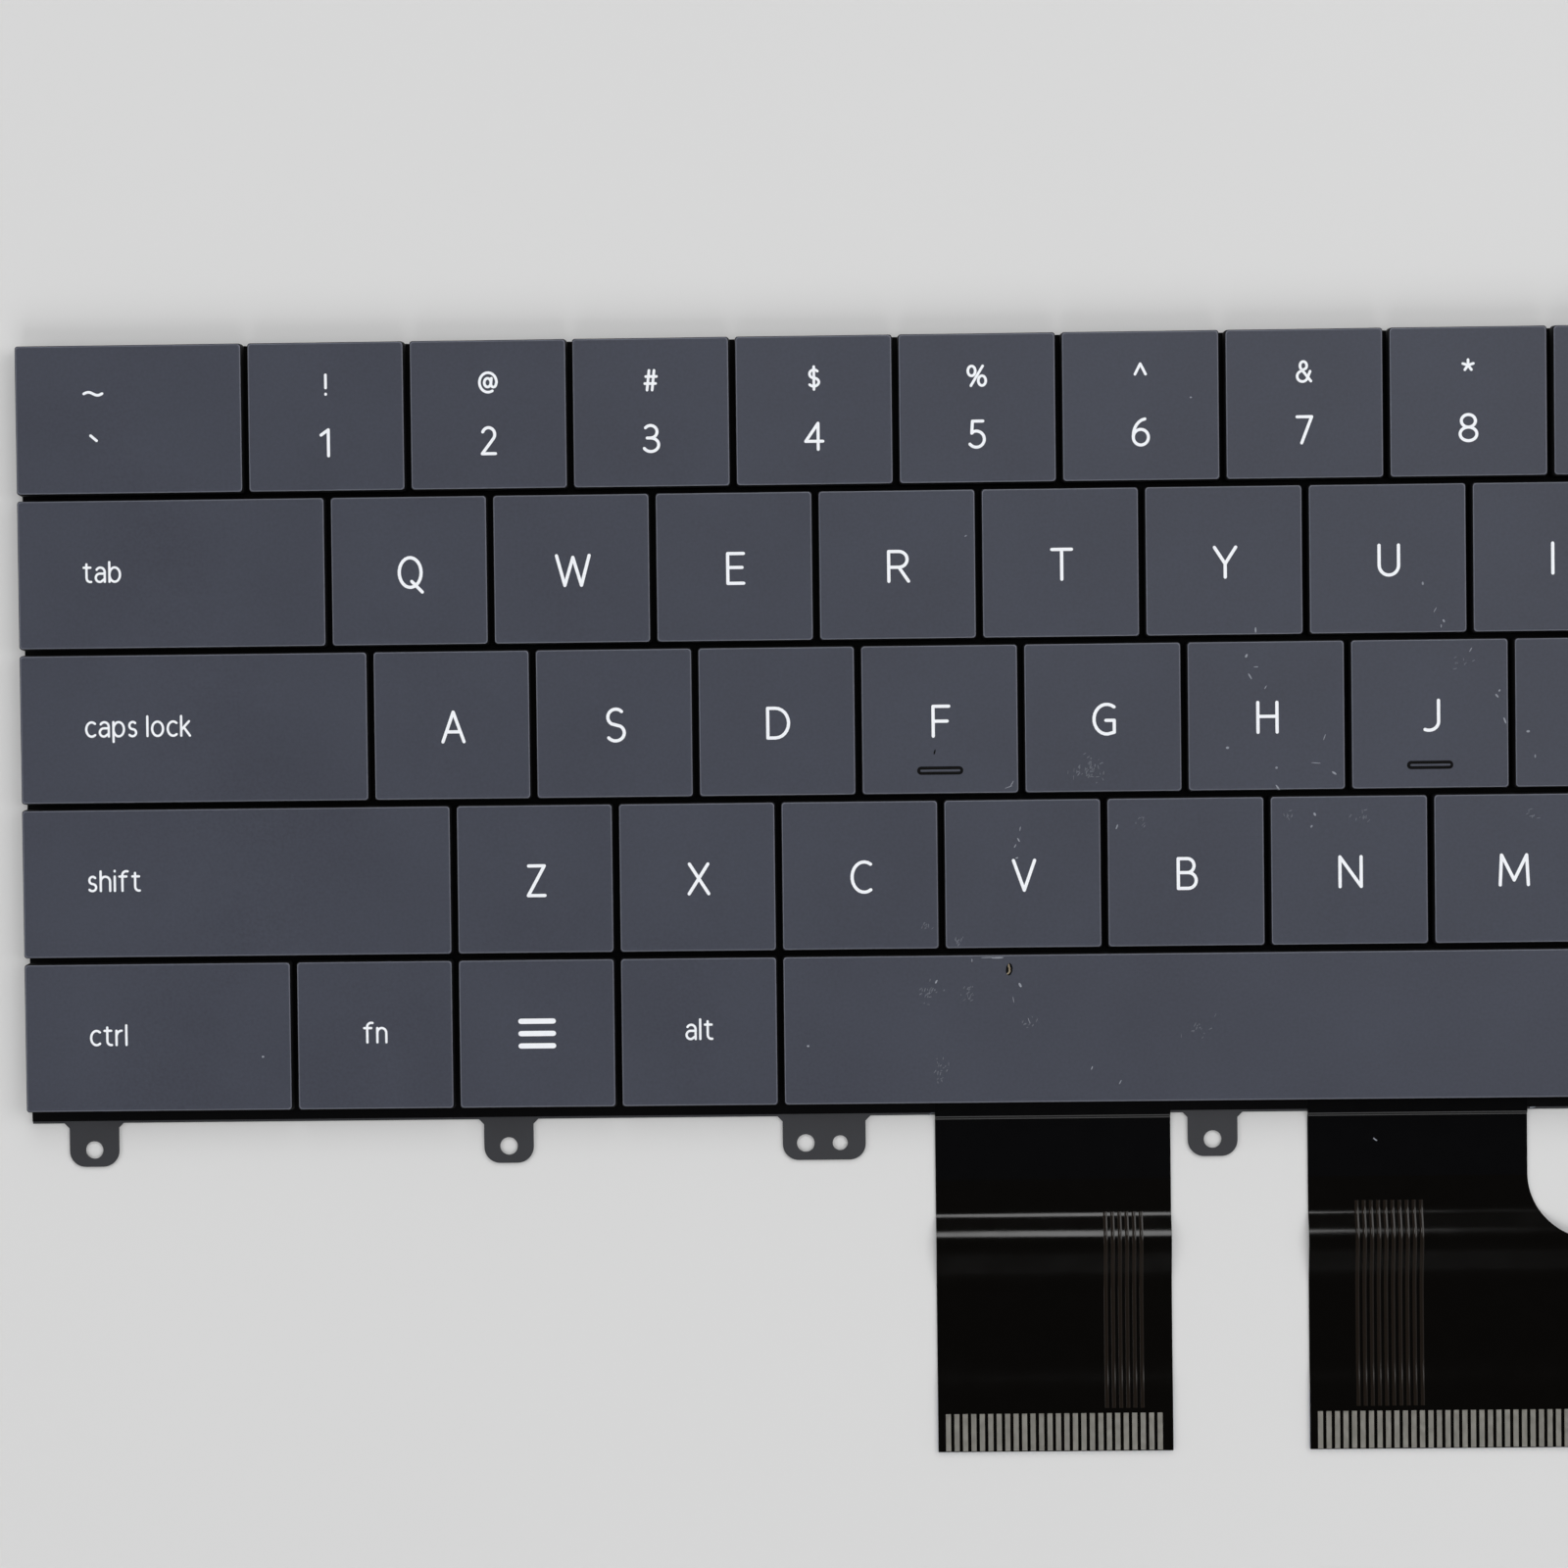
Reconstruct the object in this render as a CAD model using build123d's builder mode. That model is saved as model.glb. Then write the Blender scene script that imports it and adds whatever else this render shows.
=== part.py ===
"""Low-profile laptop keyboard module.

Edge-to-edge keycaps ride on crossed link frames and elastic domes. A stamped plate
with hooks and screw ears carries them, and a switch sheet lies on the plate, slotted
round the hooks. Two flat flexible tails leave the sheet over the plate's front edge.

Millimetres. X runs along the rows to the right, Y away from the user and Z up, with
the origin on the underside below the middle of the key field.
"""
import os
from collections import namedtuple
from functools import cache
from math import asin, atan2, degrees, hypot, radians, tan

from build123d import *

os.makedirs("parts", exist_ok=True)

# Key field
PITCH_X = 19.05
PITCH_Y = 18.15
KEY_GAP = 0.75
FIRST_KEY = 27.35  # cell at the left end of the number row
LAST_KEY = 29.80  # cell at the right end of the number row
SPACE_KEY = 95.25
ROW_SHIFT = (0.0, 0.5, 0.75, 1.25, 0.25)  # stagger of each row, in pitches

# Layers, from the underside up
PLATE_T = 0.30
MEMBRANE_T = 0.20

# Keycaps
TRAVEL = 1.00
CAP_ROOF = 0.70
CAP_WALL = 0.80
CAP_DRAFT = 4.0  # degrees
CAP_BEVEL = 0.18
DISH_DEPTH = 0.085
SKIRT_CLEARANCE = 0.20  # skirt above the switch sheet when pressed
HOMING_LENGTH = 5.30
HOMING_WIDTH = 0.92
HOMING_HEIGHT = 0.22
HOMING_INSET = 2.83  # from the cap's front edge

# Crossed link frames, their hooks and the domes
LINK_LENGTH = 11.0
LINK_WIDTH = 12.0
LINK_BAR = 1.0
LINK_T = 0.45
LINK_SIDE_PLAY = 0.20
LINK_PLAY = 0.05  # under the cap's roof and over the switch sheet
HOOK_WIDTH = 4.0
HOOK_T = 0.20
HOOK_LIP = 0.40
HOOK_RISE = 0.15  # room for the tilted bar under the lip
HOOK_PLAY = 0.15
CAP_CLEARANCE = 0.10  # pressed roof above the hooks
SLOT_PLAY = 0.20  # switch sheet round a hook
DOME_DIAMETER = 5.0
DOME_TIP = 2.2
DOME_PLAY = 0.50  # between a dome and the frame round it

# Balance bars of the wide keys
BAR_MIN_CAP = 33.0
BAR_END_INSET = 4.0
BAR_LEG = 6.0
BAR_WIDTH = 0.50
BAR_GAP = 0.35  # from the link frames

# Plate outline and ears
PLATE_FRONT = 1.30  # beyond the key cells
MEMBRANE_SETBACK = 0.28  # from the plate's front edge
EAR_WIDTH = 5.85
EAR_LENGTH = 5.20
EAR_HOLE_D = 2.10
EAR_HOLE_SETBACK = 2.00  # from the ear's end
EAR_CORNER = 1.90
EAR_ROOT = 0.60
EAR_1_X = 7.65  # ear places from the field's left edge
EAR_2_X = 56.90
EAR_4_X = 140.05
TWIN_EAR_X = 94.23
TWIN_EAR_WIDTH = 9.80
TWIN_HOLE_X = 2.18  # screw hole towards the field's end
PIN_HOLE_X = 1.88  # locating hole on the other side
PIN_HOLE_D = 1.78

# Flexible tails
TAIL_T = 0.20
TAIL_LAP = 2.60  # on the plate
TAIL_OUT = 40.0  # beyond the plate's front edge
LEFT_TAIL_W = 27.75
LEFT_TAIL_GAP = 2.05  # left of the ear between the tails
RIGHT_TAIL_W = 25.80
RIGHT_TAIL_GAP = 8.25  # right of that ear
TAIL_EDGE = 0.50  # straight run over the plate's edge
TAIL_TOUCH = 7.50  # where a tail comes down
TAIL_CREST = 13.0
TAIL_CREST_Z = 0.90
TAIL_REST = 20.0  # where it lies flat again
TAIL_BENDS = (1.5, 4.0, 14.0, 9.0, 4.0, 4.0)
FOOT_START = 7.55  # where the right tail flares
FOOT_FILLET = 7.80
FOOT_REACH = 11.0
STIFFENER_T = 0.20
STIFFENER_LENGTH = 7.0
STIFFENER_RAMP = 2.5
STIFFENER_SETBACK = 0.5  # from the top of the ramp

# Heights and outlines that follow from the sizes above
SHEET_TOP = PLATE_T + MEMBRANE_T
HOOK_UNDER = SHEET_TOP + LINK_PLAY + LINK_T + HOOK_RISE
HOOK_TOP = HOOK_UNDER + HOOK_T
ROOF_Z = HOOK_TOP + CAP_CLEARANCE + TRAVEL
CAP_TOP = ROOF_Z + CAP_ROOF
CAP_BOTTOM = SHEET_TOP + SKIRT_CLEARANCE + TRAVEL
CAP_FLARE = (CAP_TOP - CAP_BOTTOM) * tan(radians(CAP_DRAFT))
LINK_MID = (SHEET_TOP + ROOF_Z) / 2
LINK_RISE = ROOF_Z - SHEET_TOP - 2 * LINK_PLAY

Key = namedtuple("Key", "name x y width depth")

ROWS = (
    "grave 1 2 3 4 5 6 7 8 9 0 minus equals backspace".split(),
    "tab q w e r t y u i o p left_bracket right_bracket backslash".split(),
    "caps_lock a s d f g h j k l semicolon quote enter".split(),
    "left_shift z x c v b n m comma period slash right_shift".split(),
)
BOTTOM_LEFT = "fn menu left_alt".split()
BOTTOM_RIGHT = "right_alt right_ctrl".split()
HOMING_KEYS = ("f", "j")
FIELD_WIDTH = FIRST_KEY + (len(ROWS[0]) - 2) * PITCH_X + LAST_KEY
FIELD_DEPTH = PITCH_Y * len(ROW_SHIFT)


def lay_cells(names, widths, y, depth):
    """Key cells side by side from the field's left edge; each cap is its cell less the gap."""
    keys = []
    left = -FIELD_WIDTH / 2
    for name, width in zip(names, widths):
        keys.append(Key(name, left + width / 2, y, width - KEY_GAP, depth - KEY_GAP))
        left += width
    return keys


def lay_rows():
    """All keys by row, the last cell of each row reaching the field's right edge."""
    rows = []
    for number, names in enumerate(ROWS):
        first = FIRST_KEY + ROW_SHIFT[number] * PITCH_X
        inner = [PITCH_X] * (len(names) - 2)
        last = FIELD_WIDTH - first - sum(inner)
        y = FIELD_DEPTH / 2 - (number + 0.5) * PITCH_Y
        rows.append(lay_cells(names, [first, *inner, last], y, PITCH_Y))
    y = -FIELD_DEPTH / 2 + PITCH_Y / 2
    names = ["left_ctrl", *BOTTOM_LEFT, "space", *BOTTOM_RIGHT]
    widths = [FIRST_KEY + ROW_SHIFT[-1] * PITCH_X, *[PITCH_X] * len(BOTTOM_LEFT)]
    widths += [SPACE_KEY, *[PITCH_X] * len(BOTTOM_RIGHT)]
    arrow = (FIELD_WIDTH - sum(widths)) / 3
    names += ["arrow_left", "arrow_down", "arrow_right"]
    bottom = lay_cells(names, widths + [arrow] * 3, y, PITCH_Y)
    half = PITCH_Y / 2 - KEY_GAP
    down = bottom[-2]
    bottom[-2] = down._replace(y=y - PITCH_Y / 4, depth=half)
    bottom.insert(-2, down._replace(name="arrow_up", y=y + PITCH_Y / 4, depth=half))
    return [*rows, bottom]


KEY_ROWS = lay_rows()
KEYS = [key for row in KEY_ROWS for key in row]
SHARED_CAPS = (
    "minus equals backspace left_bracket right_bracket backslash quote enter "
    "slash right_shift arrow_left arrow_up arrow_down arrow_right"
).split()  # caps at the rows' right ends that share one file
RIGHT_END = [key for key in KEYS if key.name in SHARED_CAPS]
MOVING = [key for key in KEYS if key not in RIGHT_END]


def cavity(size):
    """Clear span under a cap's roof."""
    return size - 2 * CAP_WALL


def link_length(key):
    """Frame length front to back, shorter under a half-height cap, with room for the hook."""
    return min(LINK_LENGTH, cavity(key.depth) - 2 * (HOOK_PLAY + HOOK_T + SLOT_PLAY))


def link_width(key):
    return min(LINK_WIDTH, cavity(key.width) - 2 * LINK_SIDE_PLAY)


def tilt_for(length, thickness):
    """Angle in degrees at which a flat bar fills the height between switch sheet and roof."""
    reach = hypot(length / 2, thickness / 2)
    return degrees(asin(LINK_RISE / 2 / reach) - atan2(thickness / 2, length / 2))


def hook_y(key):
    """Inner face of the hook behind a key's frame."""
    return key.y + link_length(key) / 2 + HOOK_PLAY


# Keycaps: drafted skirt, shallow dish across the top, bevelled top edge, hollow below
@cache
def keycap(width, depth, dished, homing):
    """One cap over the origin; the dish is a cylinder that runs front to back."""
    with BuildPart() as cap:
        with BuildSketch(Plane.XY.offset(CAP_BOTTOM)):
            Rectangle(width + 2 * CAP_FLARE, depth + 2 * CAP_FLARE)
        extrude(amount=CAP_TOP - CAP_BOTTOM, taper=CAP_DRAFT)
        if dished:
            with BuildSketch(Plane(origin=(0, 0, CAP_TOP), x_dir=(1, 0, 0), z_dir=(0, -1, 0))):
                with BuildLine():
                    ThreePointArc((-width / 2, 0), (0, -DISH_DEPTH), (width / 2, 0))
                    Line((width / 2, 0), (-width / 2, 0))
                make_face()
            extrude(amount=depth, both=True, mode=Mode.SUBTRACT)
        chamfer(cap.faces().sort_by(Axis.Z)[-1].edges(), length=CAP_BEVEL)
        with BuildSketch(Plane.XY.offset(CAP_BOTTOM)):
            Rectangle(cavity(width) + 2 * CAP_FLARE, cavity(depth) + 2 * CAP_FLARE)
        extrude(amount=ROOF_Z - CAP_BOTTOM, taper=CAP_DRAFT, mode=Mode.SUBTRACT)
        if homing:
            with BuildSketch(Plane.XY.offset(CAP_TOP - DISH_DEPTH + HOMING_HEIGHT)):
                with Locations((0, HOMING_INSET - depth / 2)):
                    Rectangle(HOMING_LENGTH, HOMING_WIDTH)
            extrude(amount=-HOMING_HEIGHT - CAP_ROOF / 2)
    return cap.part


def placed_cap(key):
    cap = keycap(round(key.width, 6), round(key.depth, 6), key.name != "space", key.name in HOMING_KEYS)
    return cap.moved(Location((key.x, key.y, 0)))


for key in MOVING:
    moving_cap = placed_cap(key)
    moving_cap.label = f"key_{key.name}"
    export_step(moving_cap, f"parts/key_{key.name}.step")

end_caps = [placed_cap(key) for key in RIGHT_END]
with BuildPart() as right_end_keycaps:
    add(end_caps)
right_end_keycaps.part.label = "right_end_keycaps"
export_step(right_end_keycaps.part, "parts/right_end_keycaps.step")


# Link frames round each dome, crossed at their middles: an outer U with its bar under the
# hook and its arms up at the front, and an inner U whose bar rises to the back
def link_frames(width_of, direction):
    with BuildPart() as frames:
        for key in KEYS:
            length = link_length(key)
            width = width_of(key)
            middle = Plane(origin=(key.x, key.y, LINK_MID))
            with BuildSketch(middle.rotated((direction * tilt_for(length, LINK_T), 0, 0))):
                Rectangle(width, length)
                with Locations((0, -LINK_BAR / 2)):
                    Rectangle(width - 2 * LINK_BAR, length - LINK_BAR, mode=Mode.SUBTRACT)
        extrude(amount=LINK_T / 2, both=True)
    return frames.part


def inner_width(key):
    return link_width(key) - 2 * (LINK_BAR + LINK_SIDE_PLAY)


outer_links = link_frames(link_width, -1)
outer_links.label = "outer_links"
export_step(outer_links, "parts/outer_links.step")

inner_links = link_frames(inner_width, 1)
inner_links.label = "inner_links"
export_step(inner_links, "parts/inner_links.step")

# Rubber domes: five-sided cones from the switch sheet up to each roof
def dome_base(key):
    """Radius of a dome's foot, inside the frame round it."""
    return min(DOME_DIAMETER, link_length(key) - 2 * LINK_BAR - DOME_PLAY) / 2


with BuildPart() as rubber_domes:
    height = ROOF_Z - LINK_PLAY - SHEET_TOP
    for base in sorted({round(dome_base(key), 6) for key in KEYS}):
        same_size = [key for key in KEYS if round(dome_base(key), 6) == base]
        with BuildSketch(*[Plane(origin=(key.x, key.y, SHEET_TOP)) for key in same_size]):
            RegularPolygon(base, 5)
        extrude(amount=height, taper=degrees(atan2(base - base * DOME_TIP / DOME_DIAMETER, height)))
rubber_domes.part.label = "rubber_domes"
export_step(rubber_domes.part, "parts/rubber_domes.step")

# Balance bars: a tilted U under the front of each wide cap
with BuildPart() as balance_bars:
    for key in KEYS:
        if key.width < BAR_MIN_CAP:
            continue
        front = key.y - link_length(key) / 2 - BAR_GAP - BAR_WIDTH
        middle = Plane(origin=(key.x, front + BAR_LEG / 2, LINK_MID))
        span = key.width - 2 * BAR_END_INSET
        with BuildSketch(middle.rotated((-tilt_for(BAR_LEG, BAR_WIDTH), 0, 0))):
            Rectangle(span, BAR_LEG)
            with Locations((0, BAR_WIDTH)):
                Rectangle(span - 2 * BAR_WIDTH, BAR_LEG, mode=Mode.SUBTRACT)
    extrude(amount=BAR_WIDTH / 2, both=True)
balance_bars.part.label = "balance_bars"
export_step(balance_bars.part, "parts/balance_bars.step")

# Base plate: sheet with screw ears on the front edge and a raised hook behind each key's links
PLATE_WIDTH = FIELD_WIDTH - KEY_GAP
PLATE_BACK_Y = (FIELD_DEPTH - KEY_GAP) / 2
PLATE_FRONT_Y = -FIELD_DEPTH / 2 - PLATE_FRONT
EAR_HOLE_Y = PLATE_FRONT_Y - EAR_LENGTH + EAR_HOLE_SETBACK
LEFT_EDGE = -FIELD_WIDTH / 2
SINGLE_EARS = [LEFT_EDGE + EAR_1_X, LEFT_EDGE + EAR_2_X, LEFT_EDGE + EAR_4_X]
SINGLE_EARS += [-SINGLE_EARS[0], -SINGLE_EARS[1]]
TWIN_EARS = [LEFT_EDGE + TWIN_EAR_X, -LEFT_EDGE - TWIN_EAR_X]
SCREW_HOLES = [*SINGLE_EARS, TWIN_EARS[0] - TWIN_HOLE_X, TWIN_EARS[1] + TWIN_HOLE_X]
PIN_HOLES = [TWIN_EARS[0] + PIN_HOLE_X, TWIN_EARS[1] - PIN_HOLE_X]

with BuildPart() as base_plate:
    with BuildSketch() as plate_outline:
        with Locations((0, (PLATE_BACK_Y + PLATE_FRONT_Y) / 2)):
            Rectangle(PLATE_WIDTH, PLATE_BACK_Y - PLATE_FRONT_Y)
        with Locations(*[(x, PLATE_FRONT_Y) for x in SINGLE_EARS]):
            Rectangle(EAR_WIDTH, 2 * EAR_LENGTH)
        with Locations(*[(x, PLATE_FRONT_Y) for x in TWIN_EARS]):
            Rectangle(TWIN_EAR_WIDTH, 2 * EAR_LENGTH)
        chamfer(plate_outline.vertices().group_by(Axis.Y)[1].sort_by(Axis.X)[1:-1], EAR_ROOT)
        fillet(plate_outline.vertices().group_by(Axis.Y)[0], EAR_CORNER)
        with Locations(*[(x, EAR_HOLE_Y) for x in SCREW_HOLES]):
            Circle(EAR_HOLE_D / 2, mode=Mode.SUBTRACT)
        with Locations(*[(x, EAR_HOLE_Y) for x in PIN_HOLES]):
            Circle(PIN_HOLE_D / 2, mode=Mode.SUBTRACT)
    extrude(amount=PLATE_T)
    hook_planes = [
        Plane(origin=(key.x, hook_y(key), PLATE_T), x_dir=(0, -1, 0), z_dir=(-1, 0, 0))
        for key in KEYS
    ]
    with BuildSketch(*hook_planes):
        with BuildLine():
            Polyline(
                (-HOOK_T, 0),
                (0, 0),
                (0, HOOK_UNDER - PLATE_T),
                (HOOK_LIP, HOOK_UNDER - PLATE_T),
                (HOOK_LIP, HOOK_TOP - PLATE_T),
                (-HOOK_T, HOOK_TOP - PLATE_T),
                close=True,
            )
        make_face()
    extrude(amount=HOOK_WIDTH / 2, both=True)
base_plate.part.label = "base_plate"
export_step(base_plate.part, "parts/base_plate.step")

# Tail places on the front edge
EAR_HALF = EAR_WIDTH / 2
LEFT_TAIL_X = SINGLE_EARS[2] - EAR_HALF - LEFT_TAIL_GAP - LEFT_TAIL_W / 2
RIGHT_TAIL_X = SINGLE_EARS[2] + EAR_HALF + RIGHT_TAIL_GAP + RIGHT_TAIL_W / 2

# Switch membrane: a sheet on the plate, slotted round each hook and notched for the tails
SHEET_FRONT_Y = PLATE_FRONT_Y + MEMBRANE_SETBACK
with BuildPart() as switch_membrane:
    with BuildSketch(Plane.XY.offset(PLATE_T)):
        with Locations((0, (PLATE_BACK_Y + SHEET_FRONT_Y) / 2)):
            Rectangle(PLATE_WIDTH, PLATE_BACK_Y - SHEET_FRONT_Y)
        with Locations(*[(key.x, hook_y(key) + (HOOK_T - HOOK_LIP) / 2) for key in KEYS]):
            Rectangle(
                HOOK_WIDTH + 2 * SLOT_PLAY,
                HOOK_T + HOOK_LIP + 2 * SLOT_PLAY,
                mode=Mode.SUBTRACT,
            )
        for x, width in ((LEFT_TAIL_X, LEFT_TAIL_W), (RIGHT_TAIL_X, RIGHT_TAIL_W)):
            with Locations((x, PLATE_FRONT_Y)):
                Rectangle(width, 2 * TAIL_LAP, mode=Mode.SUBTRACT)
    extrude(amount=MEMBRANE_T)
switch_membrane.part.label = "switch_membrane"
export_step(switch_membrane.part, "parts/switch_membrane.step")


# Tails: a thin strip that leaves the plate, comes down, arches once and ends on a stiffener
def tail(x, width, outline):
    side = Plane(origin=(x, PLATE_FRONT_Y, 0), x_dir=(0, -1, 0), z_dir=(-1, 0, 0))
    ramp_end = TAIL_OUT - STIFFENER_LENGTH - STIFFENER_SETBACK
    route = [
        (-TAIL_LAP, PLATE_T),
        (TAIL_EDGE, PLATE_T),
        (TAIL_TOUCH, 0),
        (TAIL_CREST, TAIL_CREST_Z),
        (TAIL_REST, 0),
        (ramp_end - STIFFENER_RAMP, 0),
        (ramp_end, STIFFENER_T),
        (TAIL_OUT, STIFFENER_T),
    ]
    with BuildPart() as strip:
        with BuildSketch(side):
            with BuildLine():
                FilletPolyline(*route, radius=list(TAIL_BENDS))
                offset(amount=TAIL_T, side=Side.LEFT, closed=True)
            make_face()
        extrude(amount=width, both=True)
        extrude(outline, amount=CAP_TOP, mode=Mode.INTERSECT)
    return strip.part


with BuildSketch(Plane(origin=(LEFT_TAIL_X, PLATE_FRONT_Y, 0))) as left_outline:
    with Locations((0, (TAIL_LAP - TAIL_OUT) / 2)):
        Rectangle(LEFT_TAIL_W, TAIL_LAP + TAIL_OUT)
left_tail = tail(LEFT_TAIL_X, LEFT_TAIL_W, left_outline.sketch)
left_tail.label = "left_tail"
export_step(left_tail, "parts/left_tail.step")

with BuildSketch(Plane(origin=(RIGHT_TAIL_X, PLATE_FRONT_Y, 0))) as right_outline:
    with Locations((0, (TAIL_LAP - TAIL_OUT) / 2)):
        Rectangle(RIGHT_TAIL_W, TAIL_LAP + TAIL_OUT)
    foot_top = -FOOT_START - FOOT_FILLET
    with Locations((FOOT_REACH / 2, (foot_top - TAIL_OUT) / 2)):
        Rectangle(RIGHT_TAIL_W + FOOT_REACH, TAIL_OUT + foot_top)
    inner_corner = right_outline.vertices().sort_by_distance((RIGHT_TAIL_W / 2, foot_top))[0]
    fillet(inner_corner, FOOT_FILLET)
right_tail = tail(RIGHT_TAIL_X, RIGHT_TAIL_W + FOOT_REACH, right_outline.sketch)
right_tail.label = "right_tail"
export_step(right_tail, "parts/right_tail.step")

# Stiffeners under the contact ends
with BuildPart() as tail_stiffeners:
    with BuildSketch(Plane(origin=(0, PLATE_FRONT_Y - TAIL_OUT + STIFFENER_LENGTH / 2, 0))):
        with Locations((LEFT_TAIL_X, 0)):
            Rectangle(LEFT_TAIL_W, STIFFENER_LENGTH)
        with Locations((RIGHT_TAIL_X + FOOT_REACH / 2, 0)):
            Rectangle(RIGHT_TAIL_W + FOOT_REACH, STIFFENER_LENGTH)
    extrude(amount=STIFFENER_T)
tail_stiffeners.part.label = "tail_stiffeners"
export_step(tail_stiffeners.part, "parts/tail_stiffeners.step")
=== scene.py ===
# %% [markdown]
# # Dressing a slim laptop keyboard
# The frame holds a keyboard module as it comes out of a laptop: caps set edge to edge on crossed links, a
# coated steel plate with screw ears, a black switch sheet and two flat flexible tails. This lesson gives the
# caps their moulded edges and print, the tails their bends and copper lines, and every piece its finish.

import bpy
import numpy as np
from mathutils import Matrix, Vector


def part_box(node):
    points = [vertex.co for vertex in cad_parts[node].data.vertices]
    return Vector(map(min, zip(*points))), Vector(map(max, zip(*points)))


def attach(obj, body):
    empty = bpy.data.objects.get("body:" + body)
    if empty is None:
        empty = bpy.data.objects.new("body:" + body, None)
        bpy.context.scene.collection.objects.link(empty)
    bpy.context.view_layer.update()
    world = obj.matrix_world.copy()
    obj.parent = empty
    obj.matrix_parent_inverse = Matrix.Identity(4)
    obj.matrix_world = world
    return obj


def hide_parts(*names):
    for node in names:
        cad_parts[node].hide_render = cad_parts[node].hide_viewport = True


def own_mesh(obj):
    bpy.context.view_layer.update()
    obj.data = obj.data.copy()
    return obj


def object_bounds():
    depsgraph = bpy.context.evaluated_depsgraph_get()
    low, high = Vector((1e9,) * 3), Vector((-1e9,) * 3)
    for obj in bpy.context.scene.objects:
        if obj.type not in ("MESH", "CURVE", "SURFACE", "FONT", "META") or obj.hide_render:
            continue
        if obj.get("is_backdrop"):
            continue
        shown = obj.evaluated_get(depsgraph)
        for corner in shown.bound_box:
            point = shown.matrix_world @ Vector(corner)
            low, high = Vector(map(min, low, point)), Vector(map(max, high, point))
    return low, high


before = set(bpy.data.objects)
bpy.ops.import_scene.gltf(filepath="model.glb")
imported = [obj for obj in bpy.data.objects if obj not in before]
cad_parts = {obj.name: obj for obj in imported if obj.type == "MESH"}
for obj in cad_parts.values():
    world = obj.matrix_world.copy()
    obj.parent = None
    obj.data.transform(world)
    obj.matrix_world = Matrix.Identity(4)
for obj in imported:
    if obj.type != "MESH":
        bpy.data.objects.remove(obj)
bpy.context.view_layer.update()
MM = 0.001

# %% [markdown]
# The camera comes first, because every later choice is judged through it. The picture looks almost straight
# down from about 37 cm, so a long lens and three small turns describe it. The turns are those of the key
# plane as the lens sees it: first about its rows, then about its columns, then in the picture.

# %% Camera
LENS_MM = 72.0
SENSOR_MM = 36.0
CAMERA_AT = np.array([-47.141, -0.828, 370.202])
TILT_ABOUT_ROWS, TILT_ABOUT_COLUMNS, TURN_IN_PICTURE = np.radians([1.016, 0.893, -0.665])


def turn(axis, angle):
    """Rotation by an angle about one of the three axes, written as a matrix."""
    a, b = [(1, 2), (2, 0), (0, 1)][axis]
    matrix = np.eye(3)
    matrix[a, a] = matrix[b, b] = np.cos(angle)
    matrix[b, a] = np.sin(angle)
    matrix[a, b] = -np.sin(angle)
    return matrix


seen = turn(2, TURN_IN_PICTURE) @ turn(1, TILT_ABOUT_COLUMNS) @ turn(0, TILT_ABOUT_ROWS)
image_axes = np.diag([1, -1, -1])
camera_matrix = np.eye(4)
camera_matrix[:3, :3] = (image_axes @ seen @ image_axes).T
camera_matrix[:3, 3] = CAMERA_AT * MM
camera = bpy.data.objects.new("camera", bpy.data.cameras.new("camera"))
camera.data.lens = LENS_MM
camera.data.sensor_width = SENSOR_MM
camera.data.clip_start = 0.01
camera.matrix_world = Matrix(camera_matrix.tolist())
bpy.context.scene.collection.objects.link(camera)
bpy.context.scene.camera = camera
print("camera at", camera.matrix_world.translation)

# %% [markdown]
# A few helpers do the mesh work. A ring is a closed row of points. Rings carried one after another make a
# skin, and a ring whose two halves face each other is closed by strips from one half to the other. The last
# helper turns such arrays into an object and checks that its faces look outwards.

# %% Mesh helpers
SHARP_EDGE = np.radians(40)


def skin(rings, closed=False):
    """Quads from each ring to the next. With k rings of n points, point j of ring i has number i * n + j."""
    count, size = rings.shape[:2]
    ring = np.arange(count if closed else count - 1)[:, None] * size
    following = (ring + size) % (count * size)
    point = np.arange(size)[None, :]
    beside = (point + 1) % size
    return np.stack([ring + point, ring + beside, following + beside, following + point], -1).reshape(-1, 4)


def lid(size, start, up):
    """Strips across one ring, from point i of its first half to the point facing it in the second half."""
    i = np.arange(size // 2 - 1)
    quads = np.stack([i, i + 1, size - 2 - i, size - 1 - i], -1) + start
    return quads if up else quads[:, ::-1]


def enclosed_volume(points, quads):
    """Sum over the faces of the signed volume between each face and the origin."""
    a, b, c, d = (points[quads[:, i]] for i in range(4))
    halves = np.einsum("ij,ij->i", a, np.cross(b, c)) + np.einsum("ij,ij->i", a, np.cross(c, d))
    return halves.sum() / 6


def add_piece(name, points, quads, materials, slots=None):
    """An object from points in millimetres and quads, smooth except at sharp edges."""
    if enclosed_volume(points, quads) < 0:
        quads = quads[:, ::-1]
    mesh = bpy.data.meshes.new(name)
    mesh.vertices.add(len(points))
    mesh.vertices.foreach_set("co", (points * MM).astype(np.float32).ravel())
    mesh.loops.add(quads.size)
    mesh.loops.foreach_set("vertex_index", quads.astype(np.int32).ravel())
    mesh.polygons.add(len(quads))
    mesh.polygons.foreach_set("loop_start", np.arange(0, quads.size, 4, dtype=np.int32))
    for material in materials:
        mesh.materials.append(material)
    if slots is not None:
        mesh.polygons.foreach_set("material_index", np.asarray(slots, dtype=np.int32))
    mesh.update(calc_edges=True)
    mesh.validate()
    mesh.shade_smooth()
    mesh.set_sharp_from_angle(angle=SHARP_EDGE)
    piece = bpy.data.objects.new(name, mesh)
    bpy.context.scene.collection.objects.link(piece)
    return piece


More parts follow.
